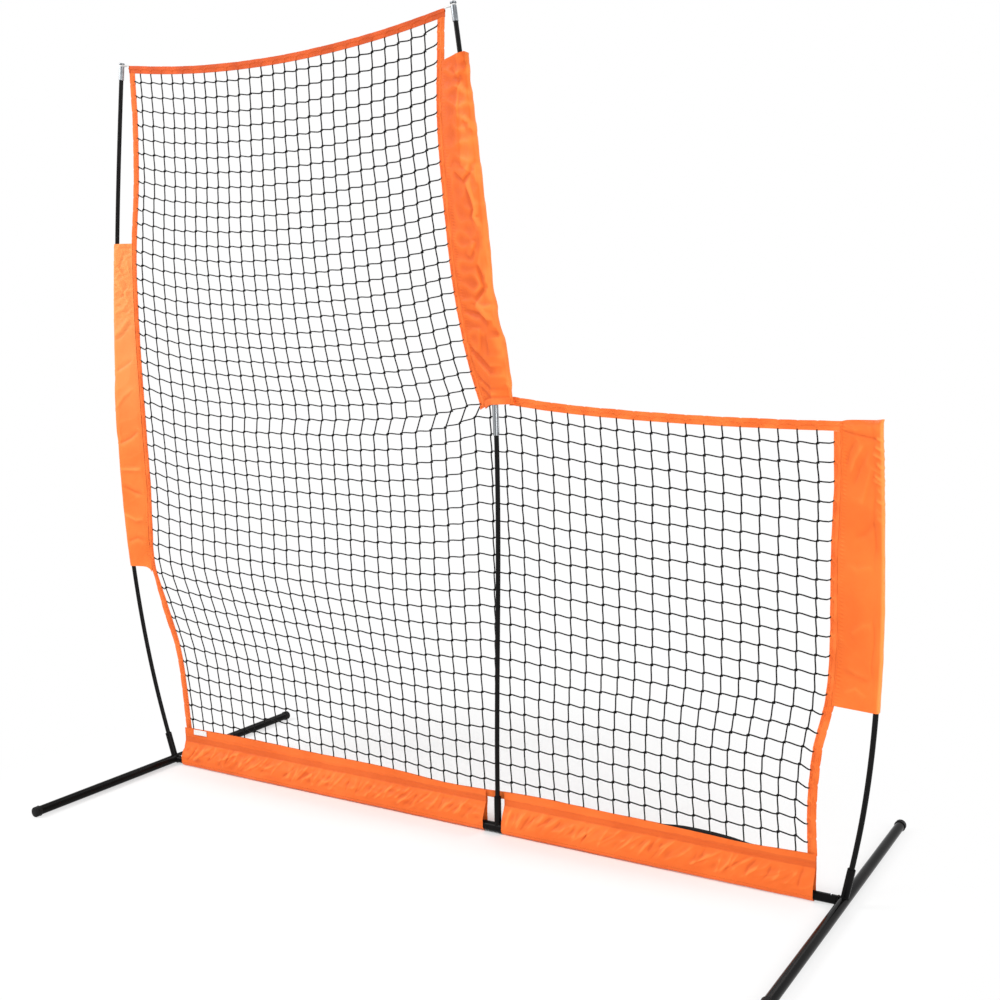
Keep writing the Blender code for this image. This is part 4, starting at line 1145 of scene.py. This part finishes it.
def left_relief(x, z, place):
    u = place * 0.075
    lift = rumple(u, z, 3, 0.10, 0.0018) + rumple(u, z, 8, 0.035, 0.0016, lean=0.7) * (z > 1.36)
    for path, width, height in (
            ([(0.070, 1.585), (0.045, 1.545), (0.012, 1.500)], 0.006, 0.0026),
            ([(0.030, 1.610), (0.048, 1.560), (0.020, 1.520)], 0.005, -0.0022),
            ([(0.066, 1.520), (0.038, 1.490), (0.010, 1.435)], 0.007, 0.0028),
            ([(0.020, 1.575), (0.008, 1.530)], 0.005, 0.0022),
            ([(0.070, 1.455), (0.040, 1.470), (0.015, 1.505)], 0.005, -0.0024),
            ([(0.072, 1.345), (0.045, 1.362), (0.012, 1.405)], 0.007, 0.0024),
            ([(0.072, 1.330), (0.045, 1.345), (0.012, 1.385)], 0.005, -0.0013),
            ([(0.070, 1.415), (0.035, 1.430), (0.010, 1.460)], 0.006, 0.0020),
            ([(0.072, 1.235), (0.040, 1.255), (0.010, 1.275)], 0.006, -0.0022),
            ([(0.072, 1.120), (0.045, 1.160), (0.010, 1.190)], 0.007, 0.0024),
            ([(0.070, 1.010), (0.035, 1.030), (0.008, 1.055)], 0.006, -0.0022),
            ([(0.072, 0.930), (0.040, 0.930), (0.008, 0.930)], 0.006, 0.0020),
            ([(0.070, 0.880), (0.035, 0.860), (0.008, 0.850)], 0.006, -0.0018),
            ([(0.070, 0.790), (0.035, 0.770), (0.008, 0.775)], 0.007, 0.0018),
            ([(0.070, 0.700), (0.035, 0.715), (0.008, 0.705)], 0.006, -0.0016)):
        lift += crease(u, z, path, width, height * 1.5)
    lift += 0.0007 * (z > left_top - 0.011) - 0.0010 * np.exp(-((z - left_top + 0.012) / 0.0035) ** 2)
    return lift + seam_puckers(u, z, 0.011, 0.0062, 0.0012)


def seam_puckers(u, z, reach, pitch, height):
    """Small gathers beside a seam, one for each stitch or two."""
    beat = z / pitch + 0.35 * np.sin(z * 41) + u * 30
    return height * np.exp(-((u - reach * 0.6) / (reach * 0.5)) ** 2) * np.sin(beat * 2 * math.pi)


def right_relief(x, z, place):
    u = place * 0.105
    lift = rumple(u, z, 11, 0.19, 0.0014, lean=0.5)
    beside = pole_x["right"](z) - x
    drawn_in = 0.0014 * (0.5 + 0.5 * np.sin(z * 23))
    lift -= drawn_in * np.exp(-((beside - 0.0125 - 0.0020 * np.sin(z * 57)) / 0.0034) ** 2)
    lift += 0.0014 * np.exp(-((z - 1.106) / 0.012) ** 2)
    for path, width, height in (
            ([(-0.010, 1.102), (0.035, 1.093), (0.112, 1.080)], 0.0028, -0.0034),
            ([(0.072, 1.060), (0.050, 1.020), (0.030, 0.975)], 0.008, -0.0034),
            ([(0.060, 1.072), (0.035, 1.035), (0.022, 1.000)], 0.007, 0.0034),
            ([(0.040, 1.080), (0.020, 1.050), (0.014, 1.020)], 0.006, -0.0026),
            ([(0.082, 1.030), (0.066, 0.985), (0.050, 0.930)], 0.009, 0.0034),
            ([(0.085, 0.900), (0.060, 0.870), (0.035, 0.860)], 0.010, -0.0030),
            ([(0.016, 0.800), (0.045, 0.790), (0.084, 0.800)], 0.012, 0.0030),
            ([(0.030, 0.640), (0.060, 0.665), (0.084, 0.670)], 0.012, 0.0034),
            ([(0.012, 0.560), (0.050, 0.545), (0.084, 0.540)], 0.009, -0.0034),
            ([(0.020, 0.505), (0.050, 0.520), (0.080, 0.500)], 0.007, 0.0028)):
        lift += crease(u, z, path, width, height * 0.6)
    dice = random.Random(2)
    top = 1.080
    while top > 0.90:
        deep = dice.uniform(0.0018, 0.0044) * min(1, (top - 0.86) / 0.12)
        inner_end = (dice.uniform(0.078, 0.090), top + dice.uniform(0.004, 0.016))
        lift += crease(u, z, [(0.112, top - 0.008), (0.099, top), inner_end], dice.uniform(0.0022, 0.0036), deep)
        top -= dice.uniform(0.009, 0.024)
    return lift + seam_puckers(u, z, 0.013, 0.0085, 0.0012)


def centre_relief(x, z, place):
    lift = rumple(x, z, 23, 0.09, 0.0022)
    lift += 0.0035 * np.exp(-(2.03 - z) / 0.035) * np.sin(math.pi * np.clip(place, 0, 1))
    for path, width, height in (
            ([(0.132, 2.012), (0.107, 1.958)], 0.007, -0.0036),
            ([(0.081, 2.003), (0.107, 1.958)], 0.007, -0.0026),
            ([(0.118, 1.998), (0.098, 1.948)], 0.008, 0.0022),
            ([(0.106, 1.957), (0.098, 1.900), (0.098, 1.782)], 0.010, 0.0030),
            ([(0.116, 1.869), (0.156, 1.826)], 0.005, -0.0030),
            ([(0.124, 1.880), (0.162, 1.838)], 0.006, 0.0020),
            ([(0.160, 1.766), (0.138, 1.736), (0.161, 1.695)], 0.006, -0.0036),
            ([(0.081, 1.743), (0.113, 1.716), (0.138, 1.738)], 0.005, -0.0030),
            ([(0.080, 1.765), (0.112, 1.738), (0.138, 1.756)], 0.010, 0.0016),
            ([(0.116, 1.715), (0.145, 1.6435), (0.139, 1.624), (0.168, 1.582)], 0.0055, -0.0028),
            ([(0.128, 1.715), (0.156, 1.6435), (0.150, 1.624), (0.172, 1.595)], 0.007, 0.0034),
            ([(0.1495, 1.563), (0.127, 1.524)], 0.008, 0.0034),
            ([(0.151, 1.506), (0.183, 1.446), (0.142, 1.4075)], 0.0065, -0.0036),
            ([(0.145, 1.500), (0.168, 1.450), (0.140, 1.425)], 0.008, 0.0026),
            ([(0.142, 1.402), (0.175, 1.396), (0.208, 1.398)], 0.008, 0.0034),
            ([(0.103, 1.391), (0.155, 1.379), (0.196, 1.348), (0.2226, 1.320)], 0.0065, -0.0036),
            ([(0.112, 1.405), (0.160, 1.393), (0.200, 1.362)], 0.007, 0.0022),
            ([(0.155, 1.345), (0.150, 1.280)], 0.012, 0.0034),
            ([(0.175, 1.330), (0.185, 1.270)], 0.008, -0.0022),
            ([(0.107, 1.306), (0.176, 1.252), (0.2266, 1.208), (0.2497, 1.173)], 0.0065, -0.0040),
            ([(0.100, 1.290), (0.170, 1.236), (0.215, 1.200)], 0.008, 0.0030),
            ([(0.139, 1.224), (0.208, 1.178)], 0.004, -0.0024),
            ([(0.128, 1.207), (0.190, 1.168)], 0.004, -0.0020)):
        lift += crease(x, z, path, width, height)
    hem = centre_low(np.clip(place, 0, 1)) + 0.0165
    lift += 0.0009 / (1 + np.exp((z - hem) / 0.0008)) - 0.0014 * np.exp(-((z - hem - 0.002) / 0.0022) ** 2)
    return lift + seam_puckers(place * 0.1, z, 0.012, 0.0075, 0.0009)


def no_layer_shading(x, z):
    return 0.0


def centre_layer_shading(x, z):
    """The outer strip lies single and is painted lighter, most near its ragged edge, and the doubled cloth inside it is
    painted in shade; the edge runs down the sleeve.
    """
    past = x - np.interp(z, single_heights, single_edge)
    return 0.50 * np.tanh(past / 0.0020) * np.exp(-np.maximum(past, 0) / 0.09) + 0.10


# The ragged edge between the painted light of the single strip and the painted shade of the doubled cloth.
single_heights = (1.195, 1.246, 1.292, 1.328, 1.361, 1.404, 1.453, 1.507, 1.573, 1.595, 1.623, 1.650, 1.709, 1.732,
                  1.757, 1.807, 1.852, 1.906, 1.935, 2.002)
single_edge = (0.231, 0.189, 0.206, 0.217, 0.180, 0.143, 0.185, 0.153, 0.173, 0.152, 0.139, 0.148, 0.119, 0.139,
               0.106, 0.105, 0.103, 0.099, 0.099, 0.136)
left_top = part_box("left_sleeve")[1].z
centre_top = smooth_line((0, 0.18, 0.42, 0.64, 0.86, 0.95, 1.0),
                         (2.0228, 2.0250, 2.0272, 2.0298, 2.0324, 2.0334, 2.0312))


def centre_low(place):
    return 1.1495 - 0.0135 * np.exp(-place / 0.17)


sleeve_edges = {
    "left": (lambda place: 0.6245 - 0.018 * np.exp(-place / 0.10), lambda place: left_top + 0 * place),
    "right": (lambda place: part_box("right_sleeve")[0].z + 0 * place,
              lambda place: (1.1225 + 0.0025 * np.exp(-((place - 0.95) / 0.06) ** 2)
                             - 0.0045 * np.exp(-place / 0.08))),
    "centre": (centre_low, centre_top)}
for side, way, relief, carrier in (("left", -1, left_relief, "left_lower_pole"),
                                   ("right", 1, right_relief, "right_pole"),
                                   ("centre", 1, centre_relief, "centre_upper_pole")):
    node = side + "_sleeve"
    low_x, high_x = edges_of(node, 2, 0, 0.004)
    inner, outer = (high_x, low_x) if way < 0 else (low_x, high_x)
    if side != "centre":
        def outer(z):
            return pole_x[side](z) + way * (snug + swell_at(side, z) + 0.0004 * np.sin(z * 83) * np.sin(z * 29))
    else:
        def outer(z):
            return (high_x(z) + 0.004 + 0.006 * np.exp(-np.abs(centre_top(1.0) - z) / 0.075)
                    + 0.006 * np.exp(-((z - 1.409) / 0.022) ** 2) - 0.005 * np.exp(-((z - 1.345) / 0.025) ** 2)
                    + 0.0006 * np.sin(z * 97) * np.sin(z * 31))
    low_edge, high_edge = sleeve_edges[side]
    grid, lay, folds = sleeve(side, way, inner, outer, low_edge, high_edge, relief,
                              centre_layer_shading if side == "centre" else no_layer_shading, 0.014 if side == "right" else 0.0)
    mesh = cloth_mesh(side + "_pole_sleeve", grid, lay, 0.0007, folds)
    piece = settle(side + "_pole_sleeve", mesh, sleeve_cloth[side], [node])
    float(high_edge(0.5) - low_edge(0.5))
    if side == "centre":
        strip = grid[:sleeve_hem_rows, rear_steps + arc_steps // 2:-1].copy()
        strip[..., 1] -= 0.0013
        strip[..., 2] -= 0.0004
        mesh = cloth_mesh("centre_sleeve_hem", strip, lay[:sleeve_hem_rows, rear_steps + arc_steps // 2:-1], 0.0009)
        piece = settle("centre_sleeve_hem", mesh, webbing)
        spans = np.linalg.norm(np.diff(strip[3], axis=0), axis=1)
    seam = []
    for z in np.arange(float(low_edge(0.0)) + 0.004, float(high_edge(0.0)) - 0.003, 0.008):
        seam.append((float(inner(z)) + way * 0.0035, cloth_front - 0.0012, z))
    settle(side + "_sleeve_seam", thread_mesh(side + "_seam", seam, 0.0062, 0.0040, 0.0008, sewing), sewing)


# Base pocket and flaps
# The same cloth hangs from the hem behind the crossbar, passes under it and rises again as a
# flap. Hook tape on the hem and loop tape inside the flap's top hold it shut.
pocket_radius = 0.0132
hinge_y, hinge_z = -0.0142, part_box("base_flap_left")[0].z
hem_bottom = hem_low.z
flap_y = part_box("loop_strip_left")[0].y - 0.0008
flap_steps = 42
cloth_step = 0.0032
flap_cloth = cloth_finish("orange_flap_cloth", (0.80, 0.142, 0.020), (0.92, 0.182, 0.030))
u, v, _ = flap_cloth.axes(flap_cloth.add("ShaderNodeTexCoord", output="UV"))
shadow_zone = flap_cloth.ramp(v, 0.064, 0.067) * (1 - flap_cloth.ramp(v, 0.083, 0.086))
plain = flap_cloth.shader.inputs["Base Color"].links[0].from_socket
flap_cloth.feed("Base Color", flap_cloth.mixed(shadow_zone * 0.42, Signal(flap_cloth, plain), (0.58, 0.085, 0.016, 1)))
tape = Finish("closure_tape", {"Specular IOR Level": 0.15, "Sheen Weight": 0.15})
loops = tape.grain(1500, 3)
tape.feed("Base Color", tape.mixed(tape.ramp(loops, 0.35, 0.7), (0.004, 0.004, 0.004, 1), (0.022, 0.021, 0.021, 1)))
tape.feed("Roughness", tape.ramp(loops, 0.3, 0.7, 0.75, 0.95))
tape.emboss(loops, 0.0004, 0.8)


def peek(x):
    """Where the hook tape stands above the flap's top edge."""
    return np.exp(-((x - 0.775) / 0.105) ** 4)


def slack(x):
    """How far the cloth hangs below its tight line under the crossbar."""
    return 0.0004 * (1.2 + np.sin(x * 31 + 1.0) * np.sin(x * 11.3) + 0.6 * np.sin(x * 83) * np.sin(x * 17))


for side, seed in (("left", 5), ("right", 9)):
    low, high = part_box("base_flap_" + side)
    across = np.linspace(low.x, high.x, int((high.x - low.x) / cloth_step) + 1)[:, None]
    dice = random.Random(seed)

    drop = np.linspace(0, 1, 11)[:-1]
    turn = np.radians(np.linspace(-8, -180, 15))
    back_z = hem_bottom - 0.0006 - (hem_bottom - 0.032) * drop
    under_y = pocket_radius * np.cos(turn) - 0.0008 * np.clip((np.arange(15) - 9) / 5, 0, 1)
    y = np.concatenate([net_y + 0.0012 - 0.0003 * np.arange(10), under_y]) + 0 * across
    z = np.concatenate([back_z, bar_z + pocket_radius * np.sin(turn)]) + 0 * across
    z -= slack(across) * np.clip((0.034 - z) / 0.010, 0, 1)
    x = across + 0 * y
    hanging = np.concatenate([np.sin(math.pi * drop), np.zeros(15)])
    y += (rumple(x, z, seed, 0.08, 0.0018) + 0.0010) * hanging
    run = np.concatenate([0 * across, np.cumsum(np.hypot(np.diff(y), np.diff(z)), axis=1)], axis=1)
    folds = np.stack([0 * z + 0.5, 0 * z], 2)
    mesh = cloth_mesh(side + "_pocket", np.stack([x, y, z], 2), np.stack([x, run], 2), 0.0007, folds)
    piece = settle(side + "_pocket", mesh, flap_cloth, ["base_pocket_" + side])
    "crossbar_" + side

    share = np.linspace(0, 1, flap_steps + 1)
    flap_top = hem_line(across) + 0.0015
    z = hinge_z + (flap_top - hinge_z) * share
    z -= slack(across) * np.clip((0.034 - z) / 0.010, 0, 1)
    x = across + 0 * z
    lean = np.clip((z - 0.026) / (0.088 - 0.026), 0, 1)
    lean = lean * lean * (3 - 2 * lean)
    free = np.sin(math.pi * np.clip((z - hinge_z) / (0.080 - hinge_z), 0, 1)) ** 0.6
    lift = rumple(x, z, seed + 1, 0.045, 0.0016, lean=2.3)
    at = low.x + 0.01
    while at < high.x - 0.01:
        top, foot = dice.uniform(0.066, 0.086), dice.uniform(0.018, 0.040)
        swing = dice.gauss(-0.042, 0.020)
        bow = dice.uniform(-0.007, 0.007)
        path = [(at, top), (at + swing * 0.45 + bow, (top + foot) / 2), (at + swing, foot)]
        lift += crease(x, z, path, dice.uniform(0.0022, 0.0044), dice.choice((-1, 1, 1)) * dice.uniform(0.0011, 0.0028))
        at += dice.uniform(0.008, 0.022)
    lift = lift * free
    wavy = 0.0012 * np.sin(x * 23 + seed) * np.sin(x * 9.1)
    fold_edge = z - flap_top + 0.0205
    lift += 0.0010 / (1 + np.exp(-fold_edge / 0.0006)) + wavy * lean
    lift += -0.0012 * np.exp(-((z - 0.0785) / 0.0022) ** 2)
    y = hinge_y + (flap_y - hinge_y) * lean - lift
    run = np.concatenate([0 * across, np.cumsum(np.hypot(np.diff(y), np.diff(z)), axis=1)], axis=1)
    folds = np.stack([fold_shading(lift), 0 * z], 2)
    mesh = cloth_mesh(side + "_flap", np.stack([x, y, z], 2), np.stack([x, run], 2), 0.0007, folds)
    mesh.materials.append(flap_cloth.material)
    piece = bpy.data.objects.new(side + "_flap", mesh)
    bpy.context.scene.collection.objects.link(piece)
    "loop_strip_" + side
    "base_flap_" + side
    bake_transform(piece)
    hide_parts("base_flap_" + side)

    for kind, body, stand in (("hook", "root", 0.0100), ("loop", "base_flap_" + side, 0)):
        strip_low, strip_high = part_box(kind + "_strip_" + side)
        along = np.linspace(strip_low.x, strip_high.x, int((strip_high.x - strip_low.x) / 0.006) + 1)[:, None]
        rise = np.linspace(0, 1, 9)
        top_edge = hem_line(along) - 0.0015 + stand * peek(along)
        z = strip_low.z + (top_edge - strip_low.z) * rise
        x = along + 0 * z
        y = (strip_low.y + strip_high.y) / 2 + 0.0001 * np.sin(x * 60) + 0 * z
        mesh = cloth_mesh(side + "_" + kind + "_tape", np.stack([x, y, z], 2), np.stack([x, z], 2),
                          strip_high.y - strip_low.y - 0.0004)
        piece = settle(side + "_" + kind + "_tape", mesh, tape, [kind + "_strip_" + side], body)


# Tag and corner loops
# A blank woven tag sewn over the flap's left end, and elastic loops that hold the net's
# corners in the grooves of the pole tips.
tag_y = 0.0032
tag_cloth = Finish("white_tag", {"Specular IOR Level": 0.3, "Sheen Weight": 0.2})
tag_cloth.feed("Base Color", tag_cloth.mixed(tag_cloth.grain(800, 2), (0.72, 0.72, 0.71, 1), (0.85, 0.85, 0.84, 1)))
tag_cloth.feed("Roughness", tag_cloth.ramp(tag_cloth.grain(300, 2), 0.3, 0.7, 0.5, 0.7))
tag_low, tag_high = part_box("blank_tag")
across = np.linspace(tag_low.x, tag_high.x, 19)[:, None]
rise = np.linspace(0, 1, 8)
z = tag_low.z + (tag_high.z + 0.001 - tag_low.z) * rise + 0.0004 * np.sin(across * 90)
x = across + 0 * z
y = tag_y - 0.0007 * np.sin(x * 70) * rise + 0 * z
mesh = cloth_mesh("woven_tag", np.stack([x, y, z], 2), np.stack([x, z], 2), 0.0005)
piece = settle("woven_tag", mesh, tag_cloth, ["blank_tag"], "base_flap_left")
elastic = Finish("white_elastic", {"Specular IOR Level": 0.3, "Sheen Weight": 0.3})
elastic.feed("Base Color", elastic.mixed(elastic.grain(900, 2), (0.62, 0.62, 0.61, 1), (0.82, 0.82, 0.81, 1)))
elastic.feed("Roughness", elastic.ramp(elastic.grain(400, 2), 0.3, 0.7, 0.6, 0.8))
strap_width = 0.0045
strap_grip = tip_neck_radius + 0.0010
for side in ("left", "centre"):
    low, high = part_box(side + "_corner_loop")
    thick = high.z - low.z
    if side == "left":
        neck, corner = low.x + tip_neck_radius + 0.0003 + thick, high.x
    else:
        neck, corner = high.x - tip_neck_radius - 0.0003 - thick, low.x
    away = Vector((corner - neck, net_y - 0.0030))
    spread = math.acos(strap_grip / away.length)
    toward = math.atan2(away.y, away.x)
    turn = np.linspace(toward + spread, toward + 2 * math.pi - spread, 25)
    ends = [np.linspace(0, 1, 9), np.linspace(1, 0, 9)]
    x, y = strap_grip * np.cos(turn), strap_grip * np.sin(turn)
    x = np.concatenate([away.x + (x[0] - away.x) * ends[0], x, away.x + (x[-1] - away.x) * ends[1]]) + neck
    y = np.concatenate([away.y + (y[0] - away.y) * ends[0], y, away.y + (y[-1] - away.y) * ends[1]])
    across = np.linspace(-0.5, 0.5, 4)[:, None] * strap_width
    z = middle(side + "_corner_loop").z + across + 0 * x
    run = np.concatenate([[0], np.cumsum(np.hypot(np.diff(x), np.diff(y)))])
    mesh = cloth_mesh(side + "_corner_strap", np.stack([x + 0 * z, y + 0 * z, z], 2),
                      np.stack([run + 0 * z, across + 0 * z], 2), 0.0009)
    settle(side + "_corner_strap", mesh, elastic, [side + "_corner_loop"])


# Floor, lights and camera
# A pale floor that fades to white with distance, a soft key from the front left, a fill from
# the right, and the camera at the height and angle of the picture.
ground = Finish("floor", {"Roughness": 0.9})
ground.feed("Base Color", ground.mixed(ground.grain(2, 2), (0.95, 0.95, 0.95, 1), (0.97, 0.97, 0.97, 1)))


def background_rays(nodes, links):
    """One where a ray comes from the camera, a mirror or a glass."""
    path = nodes.new("ShaderNodeLightPath")
    total = path.outputs["Is Camera Ray"]
    for name in ("Is Glossy Ray", "Is Transmission Ray"):
        sum_node = nodes.new("ShaderNodeMath")
        sum_node.operation = "MAXIMUM"
        links.new(total, sum_node.inputs[0])
        links.new(path.outputs[name], sum_node.inputs[1])
        total = sum_node.outputs[0]
    return total


nodes = ground.material.node_tree.nodes
links = ground.material.node_tree.links
x, y, z = ground.axes()
distance = (x * x + y * y) ** 0.5
fade = ground.ramp(distance, 0.5, 1.5) * Signal(ground, background_rays(nodes, links))
glow = nodes.new("ShaderNodeEmission")
glow.inputs["Strength"].default_value = 1.0
blend_node = nodes.new("ShaderNodeMixShader")
links.new(fade.socket, blend_node.inputs[0])
links.new(ground.shader.outputs[0], blend_node.inputs[1])
links.new(glow.outputs[0], blend_node.inputs[2])
links.new(blend_node.outputs[0], nodes["Material Output"].inputs["Surface"])
floor_mesh = bpy.data.meshes.new("floor")
floor_reach = 60
floor_mesh.from_pydata([(-floor_reach, -floor_reach, 0), (floor_reach, -floor_reach, 0),
                        (floor_reach, floor_reach, 0), (-floor_reach, floor_reach, 0)], [], [(0, 1, 2, 3)])
floor_mesh.materials.append(ground.material)
floor = bpy.data.objects.new("floor", floor_mesh)
bpy.context.scene.collection.objects.link(floor)

world = bpy.data.worlds.new("studio")
world.use_nodes = True
bpy.context.scene.world = world
nodes = world.node_tree.nodes
links = world.node_tree.links
air = nodes["Background"]
white_air = nodes.new("ShaderNodeBackground")
mixer = nodes.new("ShaderNodeMixShader")
air.inputs["Color"].default_value = (1, 1, 1, 1)
air.inputs["Strength"].default_value = 0.50
white_air.inputs["Color"].default_value = (1, 1, 1, 1)
white_air.inputs["Strength"].default_value = 1.0
links.new(background_rays(nodes, links), mixer.inputs[0])
links.new(air.outputs[0], mixer.inputs[1])
links.new(white_air.outputs[0], mixer.inputs[2])
links.new(mixer.outputs[0], nodes["World Output"].inputs["Surface"])

for name, spot, size, power in (("key", (-3.9, -3.1, 4.3), 2.4, 235), ("fill", (4.2, -2.2, 2.4), 2.4, 120),
                                ("rim", (0.5, 3.8, 4.2), 3.0, 60)):
    lamp = bpy.data.lights.new(name, "AREA")
    lamp.size = size
    lamp.energy = power
    lamp_object = bpy.data.objects.new(name, lamp)
    lamp_object.location = spot
    lamp_object.rotation_euler = (Vector((0, 0, 0.9)) - Vector(spot)).to_track_quat("-Z", "Y").to_euler()
    bpy.context.scene.collection.objects.link(lamp_object)

eye = Vector((1.87836, -2.75533, 1.28805))
turn_left = 0.545169
look_down = 0.119568
tilt = -0.0152193
ahead = Vector((-math.sin(turn_left) * math.cos(look_down), math.cos(turn_left) * math.cos(look_down),
                -math.sin(look_down)))
right_hand = ahead.cross(up).normalized()
overhead = right_hand.cross(ahead)
right_tilted = right_hand * math.cos(tilt) + overhead * math.sin(tilt)
up_tilted = overhead * math.cos(tilt) - right_hand * math.sin(tilt)
lens = bpy.data.cameras.new("camera")
lens.sensor_width = 36
lens.lens = 45.086
camera = bpy.data.objects.new("camera", lens)
basis = Matrix((right_tilted, up_tilted, -ahead)).transposed().to_4x4()
camera.matrix_world = Matrix.Translation(eye) @ basis
bpy.context.scene.collection.objects.link(camera)
bpy.context.scene.camera = camera
bpy.context.scene.view_settings.view_transform = "Standard"
